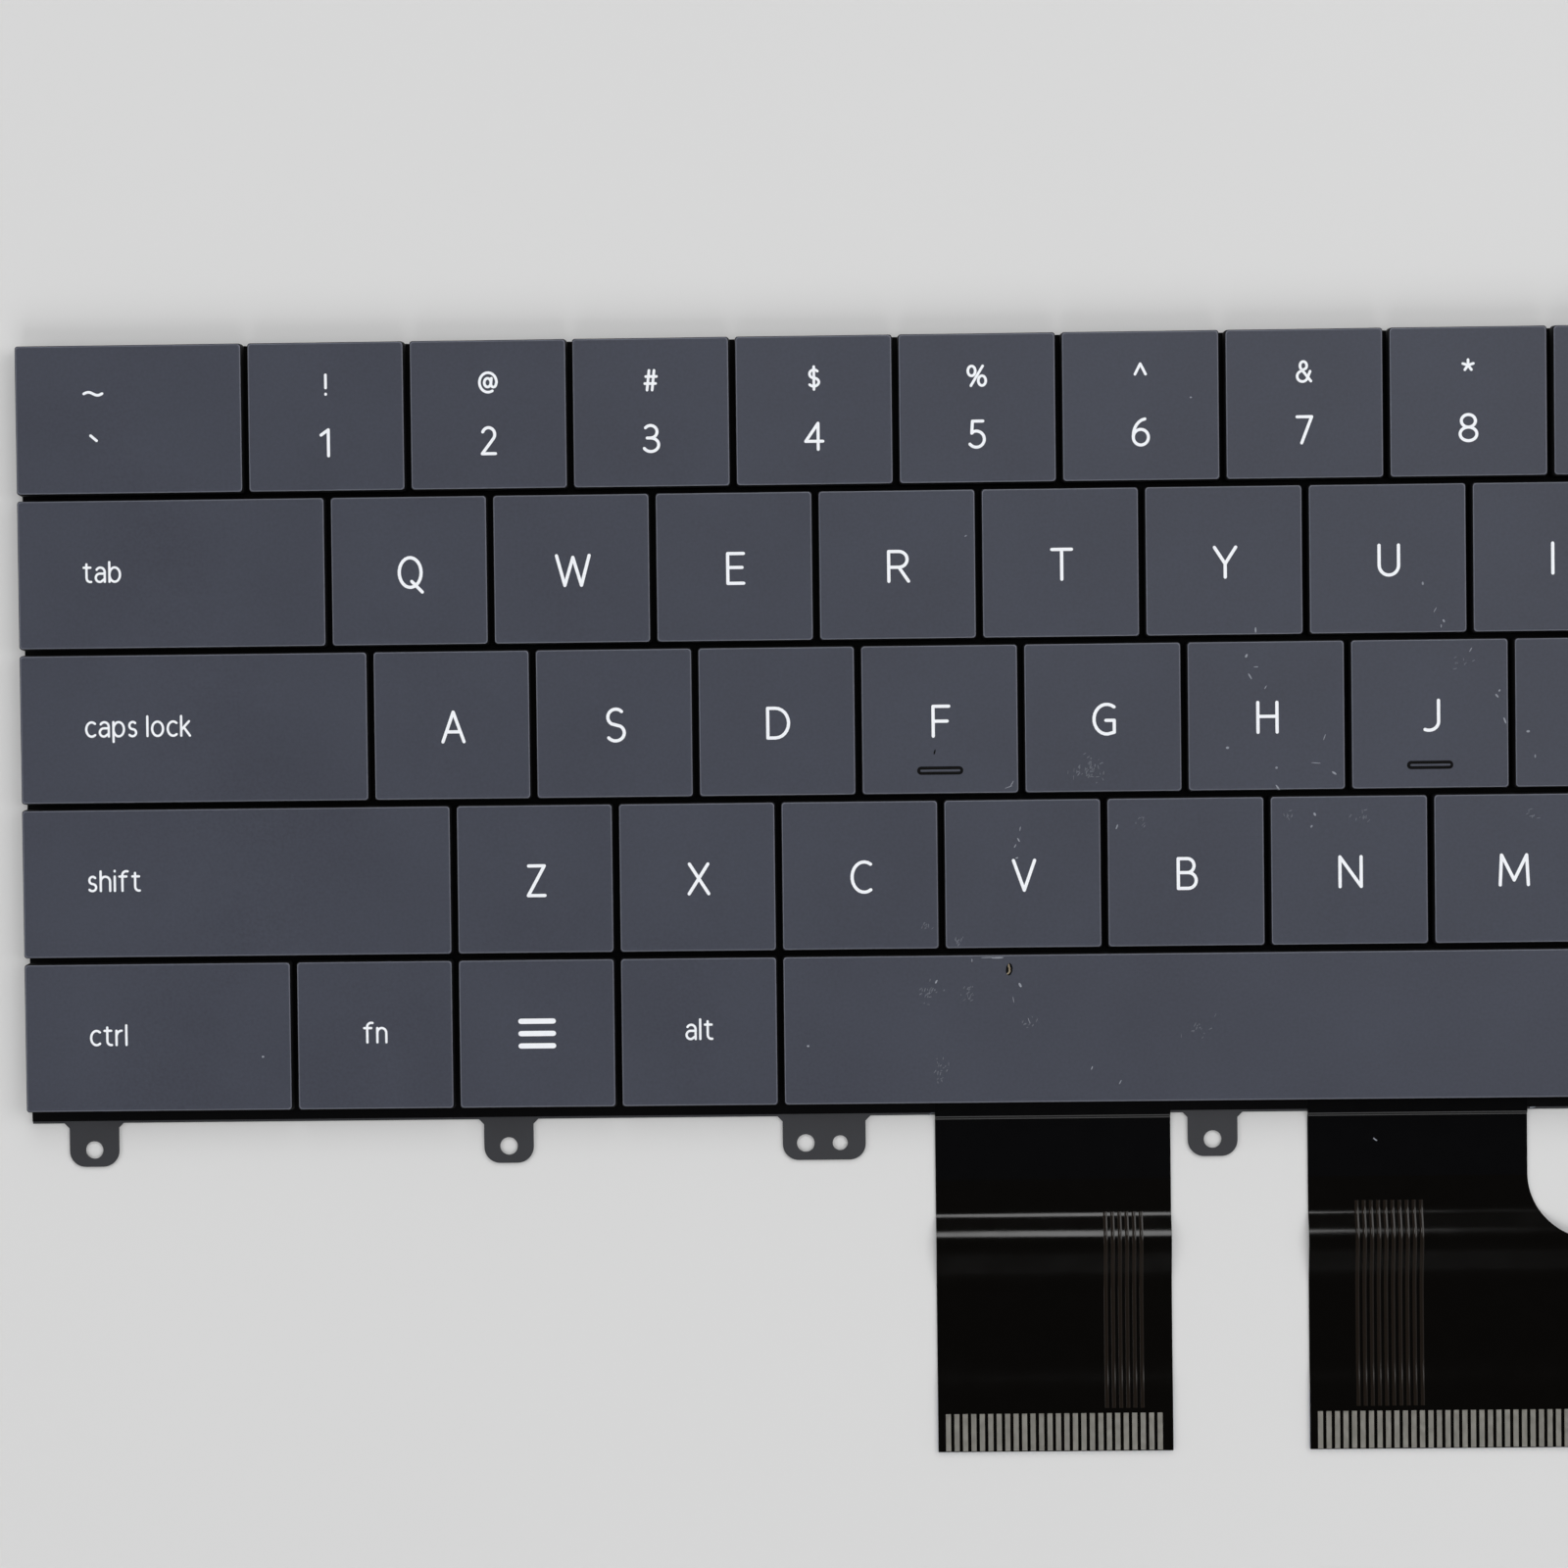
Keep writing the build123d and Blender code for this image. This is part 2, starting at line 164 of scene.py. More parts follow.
def gather(shells):
    """Several shells as one set of points and quads, each shell's numbers moved past those before it."""
    starts = np.cumsum([0] + [len(points) for points, _ in shells[:-1]])
    points = np.vstack([points for points, _ in shells])
    return points, np.vstack([quads + start for (_, quads), start in zip(shells, starts)])


# %% [markdown]
# Finishes. Colours are written as the hex values that a paint program shows, and one function turns them into
# the linear numbers that the renderer works with. Another adds a node with its settings and links. The plainer
# finishes come in two kinds, two close tones in clouds or one colour with smeared gloss, so each kind is a
# function, and every finish below reads as a list of what the real surface has.

# %% Material helpers


def linear(hex_colour):
    """sRGB to linear light: a straight foot below 0.04045, a power of 2.4 above it."""
    value = np.array([int(hex_colour[i : i + 2], 16) for i in (0, 2, 4)]) / 255
    light = np.where(value <= 0.04045, value / 12.92, ((value + 0.055) / 1.055) ** 2.4)
    return (*light.tolist(), 1.0)


def add_node(tree, kind, inputs=None, **settings):
    """A node with its settings, its inputs either values or other nodes' outputs."""
    node = tree.nodes.new(kind)
    for name, value in settings.items():
        setattr(node, name, value)
    for socket, value in (inputs or {}).items():
        if isinstance(value, bpy.types.NodeSocket):
            tree.links.new(value, node.inputs[socket])
        else:
            node.inputs[socket].default_value = value
    return node


def per_mm(size):
    """Noise scale, in metres, at which one blob of the pattern is about this many millimetres wide."""
    return 1 / (size * MM)


def new_finish(name):
    """An empty material with its shader, its place in the object's own coordinates, and its tree."""
    material = bpy.data.materials.new(name)
    material.use_nodes = True
    tree = material.node_tree
    tree.nodes.clear()
    shader = add_node(tree, "ShaderNodeBsdfPrincipled")
    add_node(tree, "ShaderNodeOutputMaterial", {"Surface": shader.outputs["BSDF"]})
    place = add_node(tree, "ShaderNodeTexCoord").outputs["Object"]
    return material, tree, shader, place


def add_ripple(tree, shader, place, size, detail, strength, height):
    """Bump from one noise, sizes in millimetres, for a surface that is not quite flat."""
    noise = {"Vector": place, "Scale": per_mm(size), "Detail": detail}
    wave = add_node(tree, "ShaderNodeTexNoise", noise)
    relief = {"Height": wave.outputs["Fac"], "Strength": strength, "Distance": height * MM}
    bump = add_node(tree, "ShaderNodeBump", relief)
    tree.links.new(bump.outputs["Normal"], shader.inputs["Normal"])


def two_tone_finish(name, dark, light, size, roughness, shine=0.5, ripple=None):
    """Two close tones in clouds of one size in millimetres, with an even roughness and shine."""
    material, tree, shader, place = new_finish(name)
    cloud = add_node(tree, "ShaderNodeTexNoise", {"Vector": place, "Scale": per_mm(size)})
    tones = {"Factor": cloud.outputs["Fac"], "A": linear(dark), "B": linear(light)}
    colour = add_node(tree, "ShaderNodeMix", tones, data_type="RGBA")
    tree.links.new(colour.outputs["Result"], shader.inputs["Base Color"])
    shader.inputs["Roughness"].default_value = roughness
    shader.inputs["Specular IOR Level"].default_value = shine
    if ripple:
        add_ripple(tree, shader, place, **ripple)
    return material


def smeared_finish(name, colour, size, detail, gloss, metallic=0.0, shine=0.5, stretch=None, ripple=None):
    """One colour whose roughness wanders between the two values of gloss, in smears of one size."""
    material, tree, shader, place = new_finish(name)
    drawn = place
    if stretch:
        drawn = add_node(tree, "ShaderNodeMapping", {"Vector": place, "Scale": stretch}).outputs["Vector"]
    noise = {"Vector": drawn, "Scale": per_mm(size), "Detail": detail}
    smear = add_node(tree, "ShaderNodeTexNoise", noise)
    limits = {"Value": smear.outputs["Fac"], "To Min": gloss[0], "To Max": gloss[1]}
    roughness = add_node(tree, "ShaderNodeMapRange", limits)
    tree.links.new(roughness.outputs["Result"], shader.inputs["Roughness"])
    shader.inputs["Base Color"].default_value = linear(colour)
    shader.inputs["Metallic"].default_value = metallic
    shader.inputs["Specular IOR Level"].default_value = shine
    if ripple:
        add_ripple(tree, shader, place, **ripple)
    return material


# %% [markdown]
# The caps are moulded ABS under a soft matt coat, slate grey with a touch of blue. The eye sees an even,
# slightly mottled tone with a faint sheen: a wide noise gives the mottling and a fine one the grain of the
# coat. The paler line on the rolled edge is a painted highlight. The near-black skirt, steep roll and hollow
# are painted shade, which is why the gaps between the caps look so deep.

# %% Cap finishes
CAP_COLOUR = "313440"
CAP_COLOUR_LIGHT = "383C49"
# painted highlight: paler colours for the rolled edge of every cap
EDGE_HIGHLIGHT_COLOUR, EDGE_HIGHLIGHT_COLOUR_LIGHT = "525560", "5C5F6B"
MOTTLE_MM = 14.0
GRAIN_MM = 0.35  # the real grit is finer and would not show
MOTTLE_WEIGHT = 0.65  # of the mottling beside the grain
TONE_LOW, TONE_HIGH = 0.55, 1.1  # of the summed noise, at the darker and the lighter tone
GLOSS_SPREAD = 0.08
COAT_BUMP, COAT_BUMP_MM = 0.06, 0.02
COAT_IOR = 1.48


def soft_coat_finish(name, dark, light, gloss):
    """Mottled matt coat: wide noise plus fine grain blends two close tones and moves the gloss a little."""
    material, tree, shader, place = new_finish(name)
    wide = {"Vector": place, "Scale": per_mm(MOTTLE_MM), "Detail": 3.0}
    mottle = add_node(tree, "ShaderNodeTexNoise", wide)
    fine = {"Vector": place, "Scale": per_mm(GRAIN_MM), "Detail": 2.0}
    grain = add_node(tree, "ShaderNodeTexNoise", fine)
    summed = {0: mottle.outputs["Fac"], 1: MOTTLE_WEIGHT, 2: grain.outputs["Fac"]}
    shade = add_node(tree, "ShaderNodeMath", summed, operation="MULTIPLY_ADD")
    limits = {"Value": shade.outputs["Value"], "From Min": TONE_LOW, "From Max": TONE_HIGH}
    tone = add_node(tree, "ShaderNodeMapRange", limits)
    tones = {"Factor": tone.outputs["Result"], "A": linear(dark), "B": linear(light)}
    colour = add_node(tree, "ShaderNodeMix", tones, data_type="RGBA")
    limits = {"Value": tone.outputs["Result"], "To Min": gloss, "To Max": gloss + GLOSS_SPREAD}
    sheen = add_node(tree, "ShaderNodeMapRange", limits)
    relief = {"Height": grain.outputs["Fac"], "Strength": COAT_BUMP, "Distance": COAT_BUMP_MM * MM}
    bump = add_node(tree, "ShaderNodeBump", relief)
    tree.links.new(colour.outputs["Result"], shader.inputs["Base Color"])
    tree.links.new(sheen.outputs["Result"], shader.inputs["Roughness"])
    tree.links.new(bump.outputs["Normal"], shader.inputs["Normal"])
    shader.inputs["IOR"].default_value = COAT_IOR
    return material


slate_cap = soft_coat_finish("soft_coated_abs", CAP_COLOUR, CAP_COLOUR_LIGHT, gloss=0.46)
# the rolled edge gets a paler colour and a lower roughness as a painted highlight
edge_highlight_finish = soft_coat_finish("painted_edge_highlight", EDGE_HIGHLIGHT_COLOUR, EDGE_HIGHLIGHT_COLOUR_LIGHT, gloss=0.38)
# Painted shade, near black with an even fine texture, on the parts of a cap that face the gaps and on the
# homing bars' flanks. The same black also draws dark dirt and the painted shadow under the crumb. The skirt
# gets a slightly lighter painted shade.
shade_and_dirt_black = two_tone_finish("painted_shade_and_dirt_black", "030304", "060607", size=0.4, roughness=0.6, shine=0.08)
shaded_skirt_black = two_tone_finish("painted_shade_skirt", "0B0B0D", "101113", size=0.4, roughness=0.6, shine=0.25)
print("finishes:", slate_cap.name, edge_highlight_finish.name, shade_and_dirt_black.name, shaded_skirt_black.name)

# %% [markdown]
# Each cap is a shallow tray turned upside down. Its rings run from the ceiling of the hollow down to the rim,
# out and up the drafted skirt, and over a rolled edge to the top, which is hollowed a little from side to
# side so that a finger finds the middle. The top is closed by strips that run front to back, because the
# hollow does not change in that direction.

# %% Keycap surfaces
CAP_TOP = 3.15
CAP_BOTTOM = 1.70
CAP_CEILING = 2.45
CAP_WALL = 0.80
CAP_FLARE = 0.101
CAP_ROLL = 0.20
CAP_CORNER = 0.35
TOP_CORNER = 0.25
RIM_CORNER = 0.45
DISH_DEPTH = 0.085
TOP_MARGIN = 0.12  # ring inside the rolled edge that keeps its shading narrow
KEY_GAP = 0.75
CORNER_STEPS = 6
EDGE_STEPS = 14
# the finishes' slots: coat, painted highlight, painted shade, lighter painted shade on the skirt
COATED, PAINTED_HIGHLIGHT, PAINTED_SHADE, SHADED_SKIRT = range(4)  # slots of a cap's finishes
ROLL_STEPS = 6
SHADED_ROLL_STEPS = 3  # the steep part of the roll, painted near black as shade


def rounded_ring(half_x, half_y, radius):
    """Rounded rectangle: front half from left to right, then the back half over the same x, right to left.
    A corner is x = -half_x + radius * (1 - cos t), y = -half_y + radius * (1 - sin t), with t from 0 to a
    quarter turn."""
    t = np.linspace(0, np.pi / 2, CORNER_STEPS)
    corner_x = -half_x + radius * (1 - np.cos(t))
    corner_y = -half_y + radius * (1 - np.sin(t))
    edge_x = np.linspace(-half_x + radius, half_x - radius, EDGE_STEPS + 2)[1:-1]
    x = np.concatenate([corner_x, edge_x, -corner_x[::-1]])
    y = np.concatenate([corner_y, np.full(EDGE_STEPS, -half_y), corner_y[::-1]])
    return np.vstack([np.column_stack([x, y]), np.column_stack([x, -y])[::-1]])


def dish_drop(x, half_x, depth):
    """How far the hollowed top lies below the cap's highest line: depth * (1 - (x / half_x) squared)."""
    return depth * np.clip(1 - (x / half_x) ** 2, 0, None)


def keycap_shell(half_x, half_y, depth):
    """Rings of one cap about its own middle: ceiling, inner rim, outer rim, skirt, rolled edge, margin."""
    roll = np.linspace(0, np.pi / 2, ROLL_STEPS)
    insets = CAP_ROLL * (1 - np.cos(roll))
    rises = CAP_TOP - CAP_ROLL * (1 - np.sin(roll))
    skirt_share = (CAP_TOP - CAP_ROLL - CAP_BOTTOM) / (CAP_TOP - CAP_BOTTOM)
    outset = CAP_FLARE * (1 - skirt_share)
    levels = [
        (CAP_WALL, CAP_CEILING, RIM_CORNER, False),
        (CAP_WALL - CAP_FLARE, CAP_BOTTOM, RIM_CORNER, False),
        (-CAP_FLARE, CAP_BOTTOM, RIM_CORNER, False),
    ]
    levels += [(inset - outset, z, CAP_CORNER, True) for inset, z in zip(insets, rises)]
    levels.append((CAP_ROLL + TOP_MARGIN, CAP_TOP, TOP_CORNER, True))
    rings = []
    for inset, z, radius, hollowed in levels:
        flat = rounded_ring(half_x - inset, half_y - inset, radius)
        height = z - (dish_drop(flat[:, 0], half_x, depth) if hollowed else 0)
        rings.append(np.column_stack([flat, np.broadcast_to(height, len(flat))]))
    rings = np.array(rings)
    count, size = rings.shape[:2]
    ceiling, top = lid(size, 0, False), lid(size, (count - 1) * size, True)
    # skins in turn: hollow, rim and skirt in painted shade, steep part of the roll in painted shade, its rest
    # as a painted highlight, coated margin
    highlit_steps = ROLL_STEPS - 1 - SHADED_ROLL_STEPS
    slots = np.repeat([PAINTED_SHADE, PAINTED_SHADE, SHADED_SKIRT] + [PAINTED_SHADE] * SHADED_ROLL_STEPS + [PAINTED_HIGHLIGHT] * highlit_steps + [COATED], size)
    slots = np.concatenate([slots, np.full(len(ceiling), PAINTED_SHADE), np.full(len(top), COATED)])
    return rings.reshape(-1, 3), np.vstack([skin(rings), ceiling, top]), slots


# %% [markdown]
# The frame already knows where each cap sits, so the boxes of its nodes give the places and sizes. The caps
# at the right end share one node. They follow the same pitch from the last cap of each row to the node's
# right edge, where the last cap takes up what is left, and the four arrows share the corner.

# %% Cap places
caps = {}
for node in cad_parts:
    if node.startswith("key_"):
        low, high = (np.array(corner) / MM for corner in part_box(node))
        half = (high - low)[:2] / 2 - CAP_FLARE
        caps[node[4:]] = (*((low + high)[:2] / 2), *half)
moving = list(caps)
PITCH = caps["w"][0] - caps["q"][0]
right_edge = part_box("right_end_keycaps")[1].x / MM - CAP_FLARE
RIGHT_END = {
    "0": ["minus", "equals", "backspace"],
    "p": ["left_bracket", "right_bracket", "backslash"],
    "semicolon": ["quote", "enter"],
    "period": ["slash", "right_shift"],
}
for last, names in RIGHT_END.items():
    x, y, half_x, half_y = caps[last]
    for name in names[:-1]:
        x += PITCH
        caps[name] = (x, y, half_x, half_y)
    left = x + half_x + KEY_GAP
    caps[names[-1]] = ((left + right_edge) / 2, y, (right_edge - left) / 2, half_y)
x, y, half_x, half_y = caps["right_ctrl"]
left = x + half_x + KEY_GAP
arrow_half = (right_edge - left - 2 * KEY_GAP) / 6
arrow_x = left + arrow_half + np.arange(3) * (2 * arrow_half + KEY_GAP)
half_height = (half_y - KEY_GAP / 2) / 2
caps["arrow_left"] = (arrow_x[0], y, arrow_half, half_y)
caps["arrow_right"] = (arrow_x[2], y, arrow_half, half_y)
caps["arrow_up"] = (arrow_x[1], y + half_y - half_height, arrow_half, half_height)
caps["arrow_down"] = (arrow_x[1], y - half_y + half_height, arrow_half, half_height)
print("caps:", len(caps), "of which moving:", len(moving), "pitch:", round(float(PITCH), 3))


def body_of_key(name):
    """The body that a cap and what lies on it ride on."""
    return f"cap_{name}" if name in moving else "base"


def key_depth(name):
    """Depth of a cap's hollow; the space bar is flat."""
    return 0.0 if name == "space" else DISH_DEPTH


# %% Keycaps
cap_finishes = [slate_cap, edge_highlight_finish, shade_and_dirt_black, shaded_skirt_black]
for name, (x, y, half_x, half_y) in caps.items():
    points, quads, slots = keycap_shell(half_x, half_y, key_depth(name))
    cap = add_piece(f"keycap_{name}", points + (x, y, 0), quads, cap_finishes, slots)
    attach(cap, body_of_key(name))
    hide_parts(f"key_{name}" if name in moving else "right_end_keycaps")
print("keycaps:", len(caps), "quads each:", len(quads))

# %% [markdown]
# The print on the caps is pad-printed white ink in a light sans of one stroke width with round ends. A font
# file would bring someone's drawing, so the letters are drawn here as a pen would: each is a few strokes, a
# stroke is straight runs and arcs, and a capital is one unit tall along the middle of its strokes.

# %% Letter strokes
ARC_STEP = 14  # degrees
DOT_LENGTH = 0.02


def arc(x, y, rx, ry, start, end):
    """Points on an ellipse, (x + rx cos t, y + ry sin t), from one angle to another in degrees."""
    t = np.radians(np.linspace(start, end, max(3, int(abs(end - start) / ARC_STEP) + 1)))
    return np.column_stack([x + rx * np.cos(t), y + ry * np.sin(t)])


def stroke(*parts):
    """One pen stroke through points and arcs in turn."""
    return np.vstack([np.atleast_2d(np.asarray(part, dtype=float)) for part in parts])


def oval(x, y, rx, ry):
    return arc(x, y, rx, ry, 0, 360)


def dot(x, y):
    return stroke((x, y), (x, y + DOT_LENGTH))


def mirrored(strokes, width):
    return [np.column_stack([width - points[:, 0], points[:, 1]]) for points in strokes]


def half_turned(strokes, width):
    return [np.column_stack([width - points[:, 0], 1 - points[:, 1]]) for points in strokes]


CAPITALS = {
    "A": [stroke((0, 0), (0.355, 1), (0.71, 0)), stroke((0.12, 0.335), (0.59, 0.335))],
    "B": [
        stroke((0, 0.53), (0, 1), (0.31, 1), arc(0.31, 0.765, 0.22, 0.235, 90, -90), (0, 0.53)),
        stroke((0, 0.53), (0.33, 0.53), arc(0.33, 0.265, 0.27, 0.265, 90, -90), (0, 0), (0, 0.53)),
    ],
    "C": [arc(0.41, 0.5, 0.41, 0.51, 58, 302)],
    "D": [stroke((0, 0), (0, 1), (0.25, 1), arc(0.25, 0.5, 0.45, 0.5, 90, -90), (0, 0))],
    "E": [stroke((0.53, 1), (0, 1), (0, 0), (0.53, 0)), stroke((0, 0.53), (0.48, 0.53))],
    "F": [stroke((0.53, 1), (0, 1), (0, 0)), stroke((0, 0.5), (0.47, 0.5))],
    "G": [stroke(arc(0.43, 0.5, 0.43, 0.5, 55, 275), (0.68, 0.06), (0.68, 0.46), (0.4, 0.46))],
    "H": [stroke((0, 0), (0, 1)), stroke((0.64, 0), (0.64, 1)), stroke((0, 0.53), (0.64, 0.53))],
    "I": [stroke((0, 0), (0, 1))],
    "J": [stroke((0.5, 1), arc(0.18, 0.29, 0.32, 0.29, 0, -115))],
    "K": [stroke((0, 0), (0, 1)), stroke((0.6, 1), (0, 0.42)), stroke((0.19, 0.6), (0.64, 0))],
    "L": [stroke((0, 1), (0, 0), (0.52, 0))],
    "M": [stroke((0, 0), (0.05, 1), (0.47, 0.16), (0.89, 1), (0.94, 0))],
    "N": [stroke((0, 0), (0, 1), (0.71, 0), (0.71, 1))],
    "O": [oval(0.37, 0.5, 0.37, 0.5)],
    "P": [stroke((0, 0), (0, 1), (0.32, 1), arc(0.32, 0.73, 0.28, 0.27, 90, -90), (0, 0.46))],
    "Q": [oval(0.37, 0.5, 0.37, 0.5), stroke((0.42, 0.2), (0.77, -0.16))],
    "R": [
        stroke((0, 0), (0, 1), (0.34, 1), arc(0.34, 0.735, 0.28, 0.265, 90, -90), (0, 0.47)),
        stroke((0.34, 0.47), (0.66, 0)),
    ],
    "S": [stroke(arc(0.3, 0.765, 0.27, 0.27, 44, 236), arc(0.285, 0.235, 0.295, 0.27, 56, -142))],
    "T": [stroke((0, 1), (0.66, 1)), stroke((0.33, 1), (0.33, 0))],
    "U": [stroke((0, 1), arc(0.325, 0.33, 0.325, 0.33, 180, 360), (0.65, 1))],
    "V": [stroke((0, 1), (0.355, 0), (0.71, 1))],
    "W": [stroke((0, 1), (0.27, 0), (0.55, 0.94), (0.83, 0), (1.1, 1))],
    "X": [stroke((0.02, 1), (0.66, 0)), stroke((0.64, 1), (0, 0))],
    "Y": [stroke((0, 1), (0.355, 0.45), (0.71, 1)), stroke((0.355, 0.45), (0.355, 0))],
    "Z": [stroke((0.02, 1), (0.55, 1), (0, 0), (0.56, 0))],
}
SIX = [
    oval(0.29, 0.3, 0.29, 0.3),
    stroke((0, 0.3), arc(0.5, 0.34, 0.5, 0.66, 180, 96)),
]
DIGITS = {
    "0": [oval(0.29, 0.5, 0.29, 0.5)],
    "1": [stroke((-0.12, 0.8), (0.16, 1), (0.16, 0))],
    "2": [stroke(arc(0.25, 0.74, 0.24, 0.26, 158, -32), (0, 0), (0.51, 0))],
    "3": [
        stroke(arc(0.25, 0.76, 0.25, 0.24, 140, -90), (0.12, 0.52)),
        stroke((0.12, 0.52), (0.26, 0.52), arc(0.26, 0.26, 0.3, 0.26, 90, -148)),
    ],
    "4": [stroke((0.48, 0), (0.48, 1), (0, 0.31), (0.66, 0.31))],
    "5": [stroke((0.48, 1), (0.08, 1), (0.05, 0.54), arc(0.22, 0.31, 0.31, 0.31, 106, -142))],
    "6": SIX,
    "7": [stroke((0, 1), (0.56, 1), (0.17, 0))],
    "8": [oval(0.32, 0.76, 0.27, 0.24), oval(0.32, 0.26, 0.32, 0.26)],
    "9": half_turned(SIX, 0.58),
}
STAR_ANGLES = np.radians(90 + 72 * np.arange(5))
WAVE = np.linspace(0, 1, 15)
BRACE = [
    stroke((0.42, 1.1), arc(0.36, 0.94, 0.16, 0.16, 90, 180), arc(0.04, 0.66, 0.16, 0.16, 0, -90)),
    stroke((0.42, -0.1), arc(0.36, 0.06, 0.16, 0.16, 270, 180), arc(0.04, 0.34, 0.16, 0.16, 0, 90)),
]
SYMBOLS = {
    "~": [np.column_stack([0.94 * WAVE, 0.5 + 0.08 * np.sin(2 * np.pi * WAVE)])],
    "`": [stroke((0, 0.98), (0.3, 0.72))],
    "!": [stroke((0, 1), (0, 0.33)), dot(0, 0)],
    "@": [
        oval(0.42, 0.49, 0.17, 0.22),
        stroke(
            (0.62, 0.71),
            (0.59, 0.42),
            arc(0.72, 0.42, 0.13, 0.16, 180, 340),
            arc(0.44, 0.5, 0.44, 0.5, 0, 300),
        ),
    ],
    "#": [
        stroke((0.11, 0), (0.22, 1)),
        stroke((0.37, 0), (0.48, 1)),
        stroke((0.05, 0.69), (0.6, 0.69)),
        stroke((0, 0.33), (0.55, 0.33)),
    ],
    "$": [
        stroke(arc(0.29, 0.71, 0.23, 0.21, 42, 250), arc(0.27, 0.29, 0.26, 0.21, 70, -142)),
        stroke((0.28, 1.08), (0.28, -0.08)),
    ],
    "%": [oval(0.19, 0.75, 0.19, 0.25), oval(0.72, 0.25, 0.19, 0.25), stroke((0.15, 0), (0.76, 1))],
    "^": [stroke((0, 0.47), (0.27, 1), (0.54, 0.47))],
    "&": [
        stroke(
            (0.7, 0),
            (0.17, 0.67),
            arc(0.32, 0.79, 0.17, 0.21, 205, -42),
            arc(0.27, 0.25, 0.27, 0.27, 118, 340),
            (0.66, 0.5),
        )
    ],
    "*": [stroke((0.28, 0.7), (0.28 + 0.28 * np.cos(a), 0.7 + 0.28 * np.sin(a))) for a in STAR_ANGLES],
    "(": [arc(0.62, 0.5, 0.62, 0.74, 128, 232)],
    ")": mirrored([arc(0.62, 0.5, 0.62, 0.74, 128, 232)], 0.3),
    "_": [stroke((0, -0.05), (0.7, -0.05))],
    "-": [stroke((0, 0.45), (0.5, 0.45))],
    "+": [stroke((0, 0.5), (0.7, 0.5)), stroke((0.35, 0.15), (0.35, 0.85))],
    "=": [stroke((0, 0.64), (0.66, 0.64)), stroke((0, 0.36), (0.66, 0.36))],
    "{": BRACE,
    "}": mirrored(BRACE, 0.46),
    "[": [stroke((0.3, 1.1), (0, 1.1), (0, -0.1), (0.3, -0.1))],
    "]": [stroke((0, 1.1), (0.3, 1.1), (0.3, -0.1), (0, -0.1))],
    "|": [stroke((0, 1.15), (0, -0.15))],
    "\\": [stroke((0, 1.1), (0.5, -0.1))],
    "/": [stroke((0.5, 1.1), (0, -0.1))],
    ":": [dot(0, 0.62), dot(0, 0)],
    ";": [dot(0.05, 0.62), stroke((0.06, 0.06), (0, -0.2))],
    '"': [stroke((0, 1), (0, 0.68)), stroke((0.26, 1), (0.26, 0.68))],
    "'": [stroke((0, 1), (0, 0.68))],
    "<": [stroke((0.6, 0.85), (0, 0.5), (0.6, 0.15))],
    ">": [stroke((0, 0.85), (0.6, 0.5), (0, 0.15))],
    ",": [stroke((0.07, 0.06), (0, -0.2))],
    ".": [dot(0, 0)],
    "?": [stroke(arc(0.25, 0.75, 0.25, 0.25, 160, -50), (0.26, 0.44), (0.26, 0.3)), dot(0.26, 0)],
}
X_HEIGHT = 0.73
SMALL = {
    "a": [
        stroke(arc(0.24, 0.5, 0.22, 0.23, 148, 0), (0.46, 0)),
        stroke((0.46, 0.42), (0.26, 0.42), arc(0.21, 0.21, 0.21, 0.21, 90, 285), (0.46, 0.15)),
    ],
    "b": [stroke((0, 1), (0, 0)), oval(0.27, 0.365, 0.27, 0.365)],
    "c": [arc(0.28, 0.365, 0.28, 0.365, 52, 308)],
    "e": [stroke((0.02, 0.39), (0.53, 0.39), arc(0.28, 0.365, 0.26, 0.365, 4, 312))],
    "f": [stroke(arc(0.36, 0.8, 0.21, 0.2, 72, 180), (0.15, 0)), stroke((0, X_HEIGHT), (0.36, X_HEIGHT))],
    "h": [stroke((0, 1), (0, 0)), stroke((0, 0.44), arc(0.24, 0.47, 0.24, 0.26, 180, 0), (0.48, 0))],
    "i": [stroke((0, X_HEIGHT), (0, 0)), dot(0, 1)],
    "k": [stroke((0, 1), (0, 0)), stroke((0.4, X_HEIGHT), (0, 0.29)), stroke((0.13, 0.43), (0.44, 0))],
    "l": [stroke((0, 1), (0, 0))],
    "n": [stroke((0, X_HEIGHT), (0, 0)), stroke((0, 0.44), arc(0.23, 0.47, 0.23, 0.26, 180, 0), (0.46, 0))],
    "o": [oval(0.28, 0.365, 0.28, 0.365)],
    "p": [stroke((0, X_HEIGHT), (0, -0.28)), oval(0.27, 0.365, 0.27, 0.365)],
    "r": [stroke((0, X_HEIGHT), (0, 0)), stroke((0, 0.42), arc(0.26, 0.42, 0.26, 0.31, 180, 88))],
    "s": [stroke(arc(0.21, 0.545, 0.17, 0.185, 42, 250), arc(0.19, 0.18, 0.19, 0.18, 70, -142))],
    "t": [stroke((0.14, 0.9), arc(0.33, 0.2, 0.19, 0.2, 180, 282)), stroke((0, X_HEIGHT), (0.34, X_HEIGHT))],
}
print("letter forms:", len(CAPITALS) + len(DIGITS) + len(SYMBOLS) + len(SMALL))

# %% [markdown]
# A stroke becomes a thin slab of ink. Its section is a flat rectangle carried along the stroke, and at an
# open end the pen narrows along a half circle, which gives the round end. At a sharp corner the stroke is cut
# in two, so that two round ends make a round elbow. Every run lies a hair above the one before, so that
# crossing runs never share a plane.

# %% Ink slabs
SHARP_TURN = np.radians(38)
SAME_POINT = 1e-4
END_SWING = np.radians([0, 30, 55, 75, 89])
INK_RISE = 0.012
INK_SINK = 0.02
RUN_STEP = 0.0015


